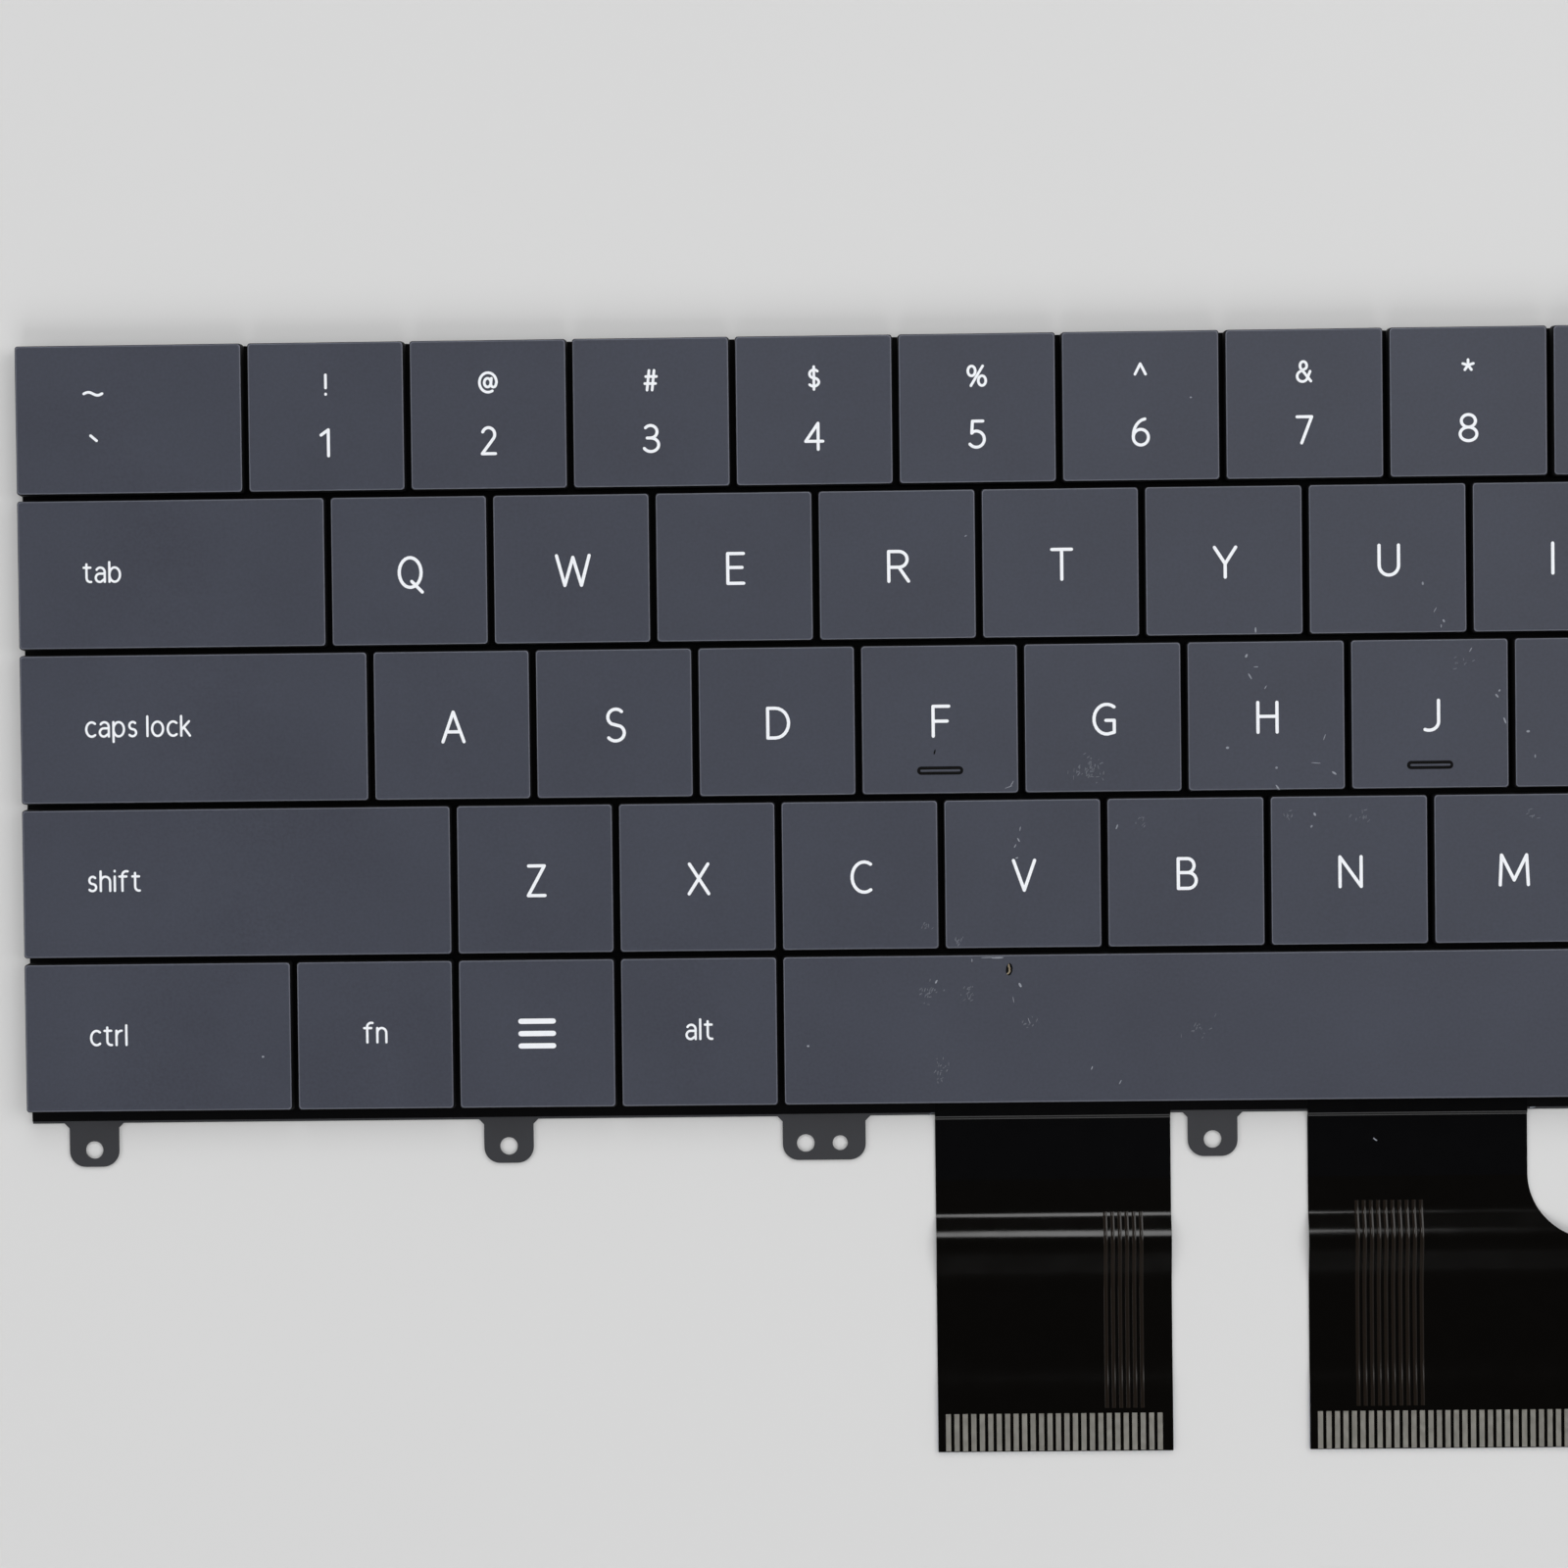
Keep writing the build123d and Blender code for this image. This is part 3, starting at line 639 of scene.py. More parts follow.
def runs(points):
    """A stroke cut where its heading turns by more than the sharp turn."""
    steps = np.diff(points, axis=0)
    points = points[np.r_[True, np.hypot(steps[:, 0], steps[:, 1]) > SAME_POINT]]
    steps = np.diff(points, axis=0)
    heading = np.arctan2(steps[:, 1], steps[:, 0])
    change = np.abs((np.diff(heading) + np.pi) % (2 * np.pi) - np.pi)
    ends = np.r_[0, np.flatnonzero(change > SHARP_TURN) + 1, len(points) - 1]
    return [points[a : b + 1] for a, b in zip(ends, ends[1:])]


def pen_run(points, width):
    """Left and right edge of a run: middle line plus or minus half the pen's width across the heading."""
    closed = len(points) > 3 and np.allclose(points[0], points[-1])
    if closed:
        points = points[:-1]
        along = np.roll(points, -1, 0) - np.roll(points, 1, 0)
    else:
        along = np.gradient(points, axis=0)
    along = along / np.linalg.norm(along, axis=1, keepdims=True)
    half = np.full(len(points), width / 2)
    if not closed:
        reach = np.sin(END_SWING[1:])[:, None] * width / 2
        narrow = np.cos(END_SWING[1:]) * width / 2
        points = np.vstack([points[0] - reach[::-1] * along[0], points, points[-1] + reach * along[-1]])
        along = np.vstack([np.tile(along[0], (len(reach), 1)), along, np.tile(along[-1], (len(reach), 1))])
        half = np.concatenate([narrow[::-1], half, narrow])
    across = np.column_stack([-along[:, 1], along[:, 0]]) * half[:, None]
    return points + across, points - across, closed


def ink_shells(strokes, width, surface):
    """Closed slabs for all runs; surface gives the height of the cap under each point."""
    shells = []
    for points in strokes:
        for run in runs(points):
            left, right, closed = pen_run(run, width)
            top = INK_RISE + RUN_STEP * len(shells)
            corners = [(left, top), (right, top), (right, -INK_SINK), (left, -INK_SINK)]
            rings = np.stack([np.column_stack([xy, surface(xy) + z]) for xy, z in corners], axis=1)
            quads = skin(rings, closed)
            if not closed:
                last = (len(rings) - 1) * 4
                quads = np.vstack([quads, [[0, 3, 2, 1]], [[last, last + 1, last + 2, last + 3]]])
            flat = rings.reshape(-1, 3)
            shells.append((flat, quads[:, ::-1] if enclosed_volume(flat, quads) < 0 else quads))
    return shells


# %% White ink
# Pad-printed ink: a matt white that lies a little unevenly, so its tone wanders slightly
white_ink = two_tone_finish("pad_printed_white_ink", "EAEDF3", "F4F6FA", size=0.5, roughness=0.55)
print("finish:", white_ink.name)

# %% [markdown]
# The layout of the print follows the caps: one capital in the middle of a letter key, a digit below its
# symbol on the number keys, and a small word near the outer edge of a wide key. The key between fn and alt
# carries a plain three-bar menu sign.

# %% Legends
LETTER_HEIGHT, LETTER_PEN = 3.48, 0.38
DIGIT_HEIGHT, DIGIT_PEN = 3.04, 0.355
LETTER_SHIFT = (0.15, -0.2)  # of the letters from the middle of the cap
SYMBOL_HEIGHT, SYMBOL_PEN = 2.28, 0.315
WORD_HEIGHT, WORD_PEN = 2.30, 0.275
DIGIT_DROP = 3.05
SYMBOL_RAISE = 3.75
SYMBOL_DROP, SYMBOL_LIFT = 2.95, 3.05  # of the two signs of a pair
GRAVE_INSET = 9.15
WORD_INSET = 7.75
LETTER_GAP = 0.24  # between the letters of a word, in capitals' heights
WORD_SPACE = 0.58
MENU_HALF_X, MENU_STEP, MENU_PEN = 1.9, 1.45, 0.62


def width_of(strokes):
    return max(points[:, 0].max() for points in strokes)


def placed(strokes, height, x, y):
    """Strokes at their real height, centred on x, with the middle of a capital at y."""
    shift = np.array([width_of(strokes) / 2, 0.5])
    return [(points - shift) * height + (x, y) for points in strokes]


def word_strokes(word, height):
    """Small letters side by side, as strokes that start at x = 0, and the word's width."""
    strokes, x = [], 0.0
    for letter in word:
        if letter == " ":
            x += WORD_SPACE - LETTER_GAP
            continue
        strokes += [(points + (x, -X_HEIGHT / 2)) * height for points in SMALL[letter]]
        x += width_of(SMALL[letter]) + LETTER_GAP
    return strokes, (x - LETTER_GAP) * height


PAIRS = {digit: digit + symbol for digit, symbol in zip("1234567890", "!@#$%^&*()")}
SYMBOL_PAIRS = {
    "grave": "`~", "minus": "-_", "equals": "=+", "left_bracket": "[{", "right_bracket": "]}",
    "backslash": "\\|", "semicolon": ";:", "quote": "'\"", "comma": ",<", "period": ".>", "slash": "/?",
}
LEFT_WORDS = {"tab": "tab", "caps_lock": "caps lock", "left_shift": "shift", "left_ctrl": "ctrl"}
RIGHT_WORDS = {"backspace": "backspace", "enter": "enter", "right_shift": "shift"}
MIDDLE_WORDS = {"fn": "fn", "left_alt": "alt", "right_alt": "alt", "right_ctrl": "ctrl"}
ARROWS = {"arrow_left": (-1, 0), "arrow_right": (1, 0), "arrow_up": (0, 1), "arrow_down": (0, -1)}
ARROW_SIZE = 0.85


def legend_strokes(name):
    """Strokes of one cap's print about the cap's middle, with the pen's width for each group."""
    half_x = caps[name][2]
    if name.upper() in CAPITALS:
        return [(placed(CAPITALS[name.upper()], LETTER_HEIGHT, *LETTER_SHIFT), LETTER_PEN)]
    if name in PAIRS:
        digit, symbol = PAIRS[name]
        return [
            (placed(DIGITS[digit], DIGIT_HEIGHT, 0, -DIGIT_DROP), DIGIT_PEN),
            (placed(SYMBOLS[symbol], SYMBOL_HEIGHT, 0, SYMBOL_RAISE), SYMBOL_PEN),
        ]
    if name in SYMBOL_PAIRS:
        lower, upper = SYMBOL_PAIRS[name]
        x = GRAVE_INSET - half_x if name == "grave" else 0
        return [
            (placed(SYMBOLS[lower], SYMBOL_HEIGHT, x, -SYMBOL_DROP), SYMBOL_PEN),
            (placed(SYMBOLS[upper], SYMBOL_HEIGHT, x, SYMBOL_LIFT), SYMBOL_PEN),
        ]
    if name in ARROWS:
        ahead = np.array(ARROWS[name]) * ARROW_SIZE
        beside = ahead[::-1]
        return [([stroke(beside - ahead / 2, ahead / 2, -beside - ahead / 2)], SYMBOL_PEN)]
    if name == "menu":
        bars = [stroke((-MENU_HALF_X, i * MENU_STEP), (MENU_HALF_X, i * MENU_STEP)) for i in (-1, 0, 1)]
        return [(bars, MENU_PEN)]
    for words, side in ((LEFT_WORDS, -1), (MIDDLE_WORDS, 0), (RIGHT_WORDS, 1)):
        if name in words:
            strokes, width = word_strokes(words[name], WORD_HEIGHT)
            start = (-half_x + WORD_INSET, -width / 2, half_x - WORD_INSET - width)[side + 1]
            return [([points + (start, 0) for points in strokes], WORD_PEN)]
    return []


printed = 0
for name, (x, y, half_x, half_y) in caps.items():
    depth = key_depth(name)
    shells = []
    for strokes, pen in legend_strokes(name):
        shells += ink_shells(strokes, pen, lambda xy: CAP_TOP - dish_drop(xy[:, 0], half_x, depth))
    if shells:
        points, quads = gather(shells)
        legend = add_piece(f"legend_{name}", points + (x, y, 0), quads, [white_ink])
        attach(legend, body_of_key(name))
        printed += 1
print("legends:", printed)

# %% [markdown]
# The two home keys carry a raised bar that the first fingers look for. It is a long dome with a steep flank,
# coloured near black as painted shade so that a dark line runs round it. Rings of the same rounded outline,
# smaller as they rise, make it.

# %% Homing bars
BAR_HALF_X, BAR_HALF_Y, BAR_RISE = 2.70, 0.49, 0.22
BAR_INSET = 2.72  # from the cap's front edge
BAR_FLANK = 0.37
BAR_LAND = 0.05  # from the flank to the flat top
BAR_TIP = 0.01  # straight stretch left at each round end
# inset and height of each ring above the cap
BAR_LEVELS = [
    (0, -0.06),
    (0, 0.015),
    (BAR_FLANK * 0.6, 0.13),
    (BAR_FLANK, 0.19),
    (BAR_FLANK + BAR_LAND, BAR_RISE),
]

for name in ("f", "j"):
    x, y, half_x, half_y = caps[name]
    rings = []
    for inset, z in BAR_LEVELS:
        flat = rounded_ring(BAR_HALF_X - inset, BAR_HALF_Y - inset, BAR_HALF_Y - inset - BAR_TIP)
        rings.append(np.column_stack([flat, np.full(len(flat), CAP_TOP - DISH_DEPTH + z)]))
    rings = np.array(rings)
    count, size = rings.shape[:2]
    quads = np.vstack([skin(rings), lid(size, 0, False), lid(size, (count - 1) * size, True)])
    slots = np.arange(len(quads)) < (count - 2) * size  # the flank is painted shade, the rest is coated
    points = rings.reshape(-1, 3) + (x, y - half_y + BAR_INSET, 0)
    bar = add_piece(f"homing_bar_{name}", points, quads, [slate_cap, shade_and_dirt_black], slots)
    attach(bar, body_of_key(name))
print("homing bars on f and j")

# %% [markdown]
# The piece is used. Pale grains and short rub marks lie on the caps under the right hand's first fingers and
# on the left half of the space bar, with one brown crumb near its back edge. A dark blob under the crumb is
# painted shadow, and two long pale streaks beside it along that edge are a painted highlight. Each grain is a
# flat blob, half an ellipsoid on the cap. The single ones are placed one by one, and the rubbed patches are
# strewn from a fixed seed.

# %% Grains and rub marks
GRAIN_RISE = 0.03
# cap: x, y, half length, half width in millimetres, direction in degrees
DUST_AND_HIGHLIGHT_MARKS = {
    "v": [(-25.3, -12.9, 0.3, 0.06, 80), (-25.5, -14.2, 0.28, 0.08, 120), (-25.9, -14.9, 0.25, 0.07, 60),
          (-25.7, -16.3, 0.18, 0.08, 20)],
    "b": [(-14.0, -12.8, 0.32, 0.09, 70)],
    "r": [(-31.3, 21.4, 0.16, 0.08, 30)],
    "6": [(-4.9, 37.2, 0.14, 0.1, 0)],
    "left_ctrl": [(-114.5, -38.7, 0.16, 0.12, 0)],
    "f": [(-26.2, -7.6, 0.4, 0.06, 60), (-26.6, -8.0, 0.5, 0.05, 20)],
    "h": [(1.3, 7.0, 0.24, 0.14, 60), (1.7, 4.6, 0.42, 0.09, 120), (2.4, 5.7, 0.3, 0.06, 0),
          (3.5, 3.3, 0.25, 0.06, 60), (-1.0, -3.7, 0.2, 0.15, 0), (4.7, -6.1, 0.15, 0.14, 0),
          (4.8, -8.4, 0.4, 0.1, 125), (11.4, -6.8, 0.32, 0.12, 145), (9.3, -5.6, 0.6, 0.05, 175),
          (10.3, -2.6, 0.4, 0.05, 70)],
    "y": [(2.4, 10.0, 0.35, 0.1, 90)],
    "n": [(9.1, -11.6, 0.22, 0.14, 120), (8.7, -13.0, 0.18, 0.12, 60)],
    "u": [(21.9, 15.2, 0.2, 0.13, 90), (23.3, 12.1, 0.35, 0.06, 60), (24.3, 10.8, 0.2, 0.12, 120),
          (24.0, 10.2, 0.2, 0.06, 90)],
    "j": [(27.4, 7.4, 0.3, 0.06, 60), (30.4, 2.0, 0.28, 0.12, 130), (30.7, 2.6, 0.15, 0.1, 60),
          (31.3, -0.9, 0.4, 0.1, 110)],
    "k": [(34.0, -2.2, 0.22, 0.14, 0), (34.8, -5.1, 0.22, 0.1, 90)],
    "space": [(-35.3, -30.7, 0.25, 0.1, 60), (-25.5, -31.2, 0.3, 0.14, 120), (-50.4, -38.1, 0.16, 0.12, 0),
              (-17.2, -41.0, 0.25, 0.06, 70), (-13.9, -42.7, 0.3, 0.06, 60), (-26.3, -32.9, 0.4, 0.04, 100),
              # on the next line the two long level streaks near y = -28 are a painted highlight along the back
              # edge
              (-24.5, -35.4, 0.4, 0.04, 110), (-28.1, -27.97, 0.75, 0.1, 1), (-29.3, -27.93, 0.8, 0.05, 1),
              (-31.1, -28.25, 0.2, 0.06, 90)],
}
# cap: x, y, half width, half height of a rubbed patch, number of grains
PATCHES = {
    "g": [(-17.0, -5.9, 2.1, 1.7, 46)],
    "c": [(-36.5, -24.1, 0.8, 0.5, 9)],
    "v": [(-32.8, -25.9, 0.8, 0.5, 7)],
    "n": [(6.0, -11.6, 0.9, 0.6, 8), (14.6, -12.0, 1.6, 0.9, 10)],
    "b": [(-11.0, -12.1, 0.9, 0.7, 7)],
    "m": [(34.6, -11.8, 1.2, 0.7, 7)],
    "j": [(26.4, 6.3, 1.4, 1.2, 8)],
    "space": [
        (-36.0, -31.6, 1.7, 1.7, 22),
        (-31.6, -32.2, 0.6, 1.5, 16),
        (-35.1, -41.0, 0.9, 1.3, 18),
        (-24.3, -35.2, 0.9, 1.6, 8),
        (-4.0, -36.5, 2.6, 1.2, 16),
    ],
}
# the dark blob on the space bar is a painted shadow under the crumb; the one on f is dark dirt
DARK_DIRT_AND_SHADOW = {"f": [(-35.2, -3.8, 0.34, 0.1, 75)], "space": [(-26.75, -29.35, 0.76, 0.42, 84)]}
# the crumb is a hooked flake: blobs along its line, from its back end round to its front
CRUMB = [(-26.79, -28.95, 0.28, 0.11, 95), (-26.72, -29.3, 0.25, 0.13, 80),
         (-26.74, -29.62, 0.22, 0.12, 60), (-26.9, -29.82, 0.2, 0.1, 30)]
CRUMB_RISE = 0.14
MARK_MARGIN = 0.45  # of a strewn mark's middle from the edge of its cap
BLOB_TURNS, BLOB_STEPS = 10, 4
BLOB_LOW, BLOB_HIGH = -0.3, np.pi / 2 - 0.2  # angles at which a blob is cut off below and on top
STREWN_SEED = 7
STREWN_SMALLEST, STREWN_LARGEST = (0.1, 0.04), (0.3, 0.08)  # half length and half width
STREWN_SLANT, SLANT_SPREAD = 60, 30  # degrees


def blob_shell(x, y, long, wide, degrees, surface, rise):
    """Half ellipsoid lying on the cap: (long cos t cos s, wide sin t cos s, rise sin s), turned and moved."""
    t = np.linspace(0, 2 * np.pi, BLOB_TURNS, endpoint=False)
    s = np.linspace(BLOB_LOW, BLOB_HIGH, BLOB_STEPS)
    outline = np.column_stack([long * np.cos(t), wide * np.sin(t)])
    flat = outline[None, :, :] * np.cos(s)[:, None, None]
    a = np.radians(degrees)
    flat = flat @ np.array([[np.cos(a), np.sin(a)], [-np.sin(a), np.cos(a)]]) + (x, y)
    height = surface(flat.reshape(-1, 2)).reshape(flat.shape[:2]) + rise * np.sin(s)[:, None]
    rings = np.concatenate([flat, height[..., None]], axis=-1)
    top = lid(BLOB_TURNS, (BLOB_STEPS - 1) * BLOB_TURNS, True)
    return rings.reshape(-1, 3), np.vstack([skin(rings), lid(BLOB_TURNS, 0, False), top])


# Dust, scuffed coat and a crumb of food: dull, patchy between two tones. The pale dust finish also draws two
# streaks on the space bar's back edge as a painted highlight.
pale_dust_and_highlight = two_tone_finish("pale_dust_and_painted_highlight", "6A6E77", "A0A4AD", size=0.3, roughness=0.8)
rubbed_coat = two_tone_finish("rubbed_coat", "494D56", "6C7079", size=0.3, roughness=0.8)
brown_crumb = two_tone_finish("brown_crumb", "5E4A28", "A09886", size=0.3, roughness=0.8)


def cap_surface(name):
    """Height of a cap's top under points given in the frame."""
    x, _, half_x, _ = caps[name]
    return lambda xy: CAP_TOP - dish_drop(xy[:, 0] - x, half_x, key_depth(name))


def strewn_marks(key, patches, strewn):
    """Marks scattered about the middle of each patch, most along one slant, all on the flat of the cap."""
    middle, reach = np.array(caps[key][:2]), np.array(caps[key][2:]) - MARK_MARGIN
    marks = []
    for x, y, half_x, half_y, number in patches:
        spread = strewn.normal(size=(number, 2)) * (half_x / 2, half_y / 2) + (x, y)
        spread = np.clip(spread, middle - reach, middle + reach)
        sizes = strewn.uniform(STREWN_SMALLEST, STREWN_LARGEST, (number, 2))
        slants = strewn.normal(STREWN_SLANT, SLANT_SPREAD, number)
        marks += np.column_stack([spread, sizes, slants]).tolist()
    return marks


def add_grains(name, key, marks, material, rise=GRAIN_RISE):
    """All marks of one kind on a cap as one piece; gives their number."""
    points, quads = gather([blob_shell(*mark, cap_surface(key), rise) for mark in marks])
    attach(add_piece(f"{name}_{key}", points, quads, [material]), body_of_key(key))
    return len(marks)


strewn = np.random.default_rng(STREWN_SEED)
laid = 0
for key, patches in PATCHES.items():
    laid += add_grains("rubbed", key, strewn_marks(key, patches, strewn), rubbed_coat)
laid += sum(add_grains("grains", key, marks, pale_dust_and_highlight) for key, marks in DUST_AND_HIGHLIGHT_MARKS.items())
laid += sum(add_grains("dark_dirt_and_shadow", key, marks, shade_and_dirt_black) for key, marks in DARK_DIRT_AND_SHADOW.items())
laid += add_grains("crumb", "space", CRUMB, brown_crumb, CRUMB_RISE)
print("grains:", laid)

# %% [markdown]
# Under each cap two link frames cross like scissors round a rubber dome, and wide caps also have a wire bar
# that keeps them level. The frame has all of them in shared nodes. Here the triangles of those nodes are
# sorted by the cap above them, so that each key has a set of its own, and the domes are turned round.

# %% Key mechanism finishes
# Acetal: a slippery moulding resin, here dyed black, with a waxy half gloss
black_link = smeared_finish("black_acetal", "1B1B1D", size=2.0, detail=2.0, gloss=(0.32, 0.42))
# Silicone rubber: milky and soft to the eye
milky_rubber = two_tone_finish("silicone_rubber", "B9B8B2", "C8C7C1", size=1.5, roughness=0.6)
# Stainless wire: bright metal with fine draw lines along its length
WIRE_LINES = (0.05, 1.0, 1.0)
drawn_wire = smeared_finish(
    "stainless_wire", "C2C2C4", size=0.15, detail=2.0, gloss=(0.2, 0.4), metallic=1.0, stretch=WIRE_LINES
)
print("finishes:", black_link.name, milky_rubber.name, drawn_wire.name)

# %% Key mechanisms
SHEET_TOP = 0.50
DOME_TURNS = 18
# a dome's outline: shares of the foot's radius with heights above the sheet, then shares of the tip's radius
# with depths below its top
DOME_FOOT = [(0.8, 0.0), (1.0, 0.0), (1.0, 0.1), (0.9, 0.3)]
DOME_TIP = [(1.25, 0.55), (1.0, 0.25), (1.0, 0.0), (0.5, 0.0)]
TIP_SHARE = 0.44  # of the foot's radius


def node_triangles(node):
    """Corner points of a node's triangles in millimetres, as an array of triangles by corners by axes."""
    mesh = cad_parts[node].data
    mesh.calc_loop_triangles()
    corner = np.empty(len(mesh.loop_triangles) * 3, np.int32)
    mesh.loop_triangles.foreach_get("vertices", corner)
    place = np.empty(len(mesh.vertices) * 3, np.float32)
    mesh.vertices.foreach_get("co", place)
    return place.reshape(-1, 3)[corner].reshape(-1, 3, 3).astype(float) / MM


def welded(triangles):
    """Triangles as shared points and faces; corners that agree to a thousandth of a millimetre become one."""
    flat, number = np.unique(triangles.reshape(-1, 3).round(3), axis=0, return_inverse=True)
    return flat, number.reshape(-1, 3)


def dome_shell(x, y, foot, tip, top):
    """Bell turned about its axis: radius and height by profile points, angle by equal steps."""
    profile = [(foot * share, SHEET_TOP + rise) for share, rise in DOME_FOOT]
    profile += [(tip * share, top - fall) for share, fall in DOME_TIP]
    angle = 2 * np.pi * np.arange(DOME_TURNS) / DOME_TURNS
    around = np.column_stack([np.cos(angle), np.sin(angle)])
    rings = np.array([np.column_stack([r * around + (x, y), np.full(DOME_TURNS, z)]) for r, z in profile])
    size = DOME_TURNS
    quads = np.vstack([skin(rings), lid(size, 0, False), lid(size, (len(rings) - 1) * size, True)])
    return rings.reshape(-1, 3), quads


MECHANISM_NODES = ["outer_links", "inner_links", "balance_bars", "rubber_domes"]
mechanism = {node: node_triangles(node) for node in MECHANISM_NODES}
middles = {node: triangles.mean(axis=1) for node, triangles in mechanism.items()}
made = 0
for name, (x, y, half_x, half_y) in caps.items():
    points, faces, slots = [], [], []
    for node, slot in zip(MECHANISM_NODES, (0, 0, 1, 2)):
        under = (np.abs(middles[node][:, 0] - x) < half_x) & (np.abs(middles[node][:, 1] - y) < half_y)
        own = mechanism[node][under]
        if not len(own):
            continue
        if node == "rubber_domes":
            low, high = own.reshape(-1, 3).min(0), own.reshape(-1, 3).max(0)
            foot = (high[1] - low[1]) / 2
            shell, quads = dome_shell(x, y, foot, foot * TIP_SHARE, high[2])
            new_faces = quads.tolist()
        else:
            shell, triangles = welded(own)
            new_faces = triangles.tolist()
        start = sum(len(group) for group in points)
        faces += [[i + start for i in face] for face in new_faces]
        points.append(shell)
        slots += [slot] * len(new_faces)
    mesh = bpy.data.meshes.new(f"mechanism_{name}")
    mesh.from_pydata((np.vstack(points) * MM).tolist(), [], faces)
    for material in (black_link, drawn_wire, milky_rubber):
        mesh.materials.append(material)
    mesh.polygons.foreach_set("material_index", slots)
    mesh.shade_smooth()
    mesh.set_sharp_from_angle(angle=SHARP_EDGE)
    piece = bpy.data.objects.new(mesh.name, mesh)
    bpy.context.scene.collection.objects.link(piece)
    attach(piece, "base")
    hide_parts(*MECHANISM_NODES)
    if name in moving:
        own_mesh(piece)
    made += 1
print("key mechanisms:", made)

# %% [markdown]
# The plate is stamped steel under a thin black electro-coat, dark grey where it catches the light. Its form
# in the frame is right, so only its finish is made here. The switch sheet is black polyester film, and it
# shows as a dull black band in front of the caps and as the dark bottom of every gap.

# %% Plate and switch sheet finishes
# Electro-coat on steel: thin, satin, with the orange-peel ripple of a baked coat
STEEL_RIPPLE = {"size": 0.5, "detail": 2.0, "strength": 0.15, "height": 0.03}
coated_steel = two_tone_finish(
    "electro_coated_steel", "26272B", "2D2E33", size=4.0, roughness=0.45, ripple=STEEL_RIPPLE
)
# Polyester film printed black: flat, nearly matt, with faint rubbed clouds
black_film = smeared_finish(
    "black_polyester_film", "020203", size=3.0, detail=3.0, gloss=(0.45, 0.6), shine=0.05
)


def refinish(node, material):
    """Gives a node of the frame its one finish."""
    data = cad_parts[node].data
    data.materials.clear()
    data.materials.append(material)


refinish("base_plate", coated_steel)
refinish("switch_membrane", black_film)
print("finishes:", coated_steel.name, black_film.name)

# %% [markdown]
# The tails are flexible circuits: copper lines between two black cover films, glossy and only a fifth of a
# millimetre thick. Each leaves the plate over its front edge, comes down to the table, arches once and ends
# on a stiffened contact strip. The surface is a flat band carried along that line: the line's height follows
# a few points, and a short running average rounds its bends as the film does.

# %% Tail line
EDGE_BEYOND_SHEET = 0.28
front_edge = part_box("switch_membrane")[0].y / MM - EDGE_BEYOND_SHEET
TAIL_T = 0.20
TAIL_LAP = 2.60
TAIL_OUT = 40.0
TAIL_STEP = 0.25
TAIL_COLUMNS = 13
EDGE_STEP, EDGE_END = 0.04, 1.5  # where the film bends over the plate's edge
# half width of the running average at distances out from the plate's edge
WINDOW_AT, WINDOW_HALF = [1.0, 3.0, 12.0, 15.0], [0.1, 0.3, 0.5, 1.2]
WINDOW_SAMPLES = 15
TAIL_ROUTE = np.array(
    [
        (-2.6, 0.3),
        (0.26, 0.3),
        (0.5, 0.02),
        (7.2, 0.0),
        (12.0, 0.0),
        (14.2, 0.68),
        (15.4, 0.72),
        (20.0, 0.0),
        (30.0, 0.0),
        (32.5, 0.2),
        (40.0, 0.2),
    ]
)


def tail_height(out):
    """Underside of a tail at a distance out from the plate's edge: straight runs, rounded by an average over
    a window that is narrow at the plate's edge and wide where the film arches."""
    half_window = np.interp(out, WINDOW_AT, WINDOW_HALF)
    share = np.linspace(-1, 1, WINDOW_SAMPLES)
    samples = np.interp(out[:, None] + half_window[:, None] * share, TAIL_ROUTE[:, 0], TAIL_ROUTE[:, 1])
    return samples.mean(axis=1)


def flare(out, start, radius, reach):
    """Extra width of a tail's right edge: none, then a quarter circle outwards, then its full reach."""
    climb = np.clip(out - start, 0, radius)
    curve = radius - np.sqrt(radius**2 - climb**2)
    return np.where(out > start + radius, reach, curve)


def tail_shell(left, right_edges, out, rise=0.0, thickness=TAIL_T, columns=TAIL_COLUMNS, crown=0.0):
    """Closed band: at each station a ring of points along the top, left to right, and back underneath.
    A crown lifts the top by crown * (1 - t squared), with t from -1 at the left edge to 1 at the right."""
    share = np.linspace(0, 1, columns)
    x = left + share[None, :] * (right_edges - left)[:, None]
    y = np.broadcast_to((front_edge - out)[:, None], x.shape)
    under = np.broadcast_to((tail_height(out) + rise)[:, None], x.shape)
    top = np.stack([x, y, under + thickness + crown * (1 - (2 * share - 1) ** 2)], axis=-1)
    bottom = np.stack([x, y, under], axis=-1)[:, ::-1]
    rings = np.concatenate([top, bottom], axis=1)
    count, size = rings.shape[:2]
    quads = np.vstack([skin(rings), lid(size, 0, False), lid(size, (count - 1) * size, True)])
    return rings.reshape(-1, 3), quads


# %% Tail finishes
# Cover film: glossy, with a long faint waviness that breaks its reflections
FILM = {"size": 2.5, "detail": 4.0, "gloss": (0.1, 0.16), "shine": 0.3}
FILM_RIPPLE = {"size": 6.0, "detail": 1.0, "strength": 0.25, "height": 0.08}
FILMS = {"black_cover_film": "070708", "thin_cover_film": "070605", "film_over_copper": "1C1713"}
cover_film, thin_film, film_on_copper = (
    smeared_finish(name, colour, **FILM, ripple=FILM_RIPPLE) for name, colour in FILMS.items()
)
# Tin on copper: pale grey metal, wiped slightly dull
tinned_copper = smeared_finish(
    "tinned_copper", "B9B6AE", size=0.6, detail=3.0, gloss=(0.25, 0.45), metallic=1.0
)
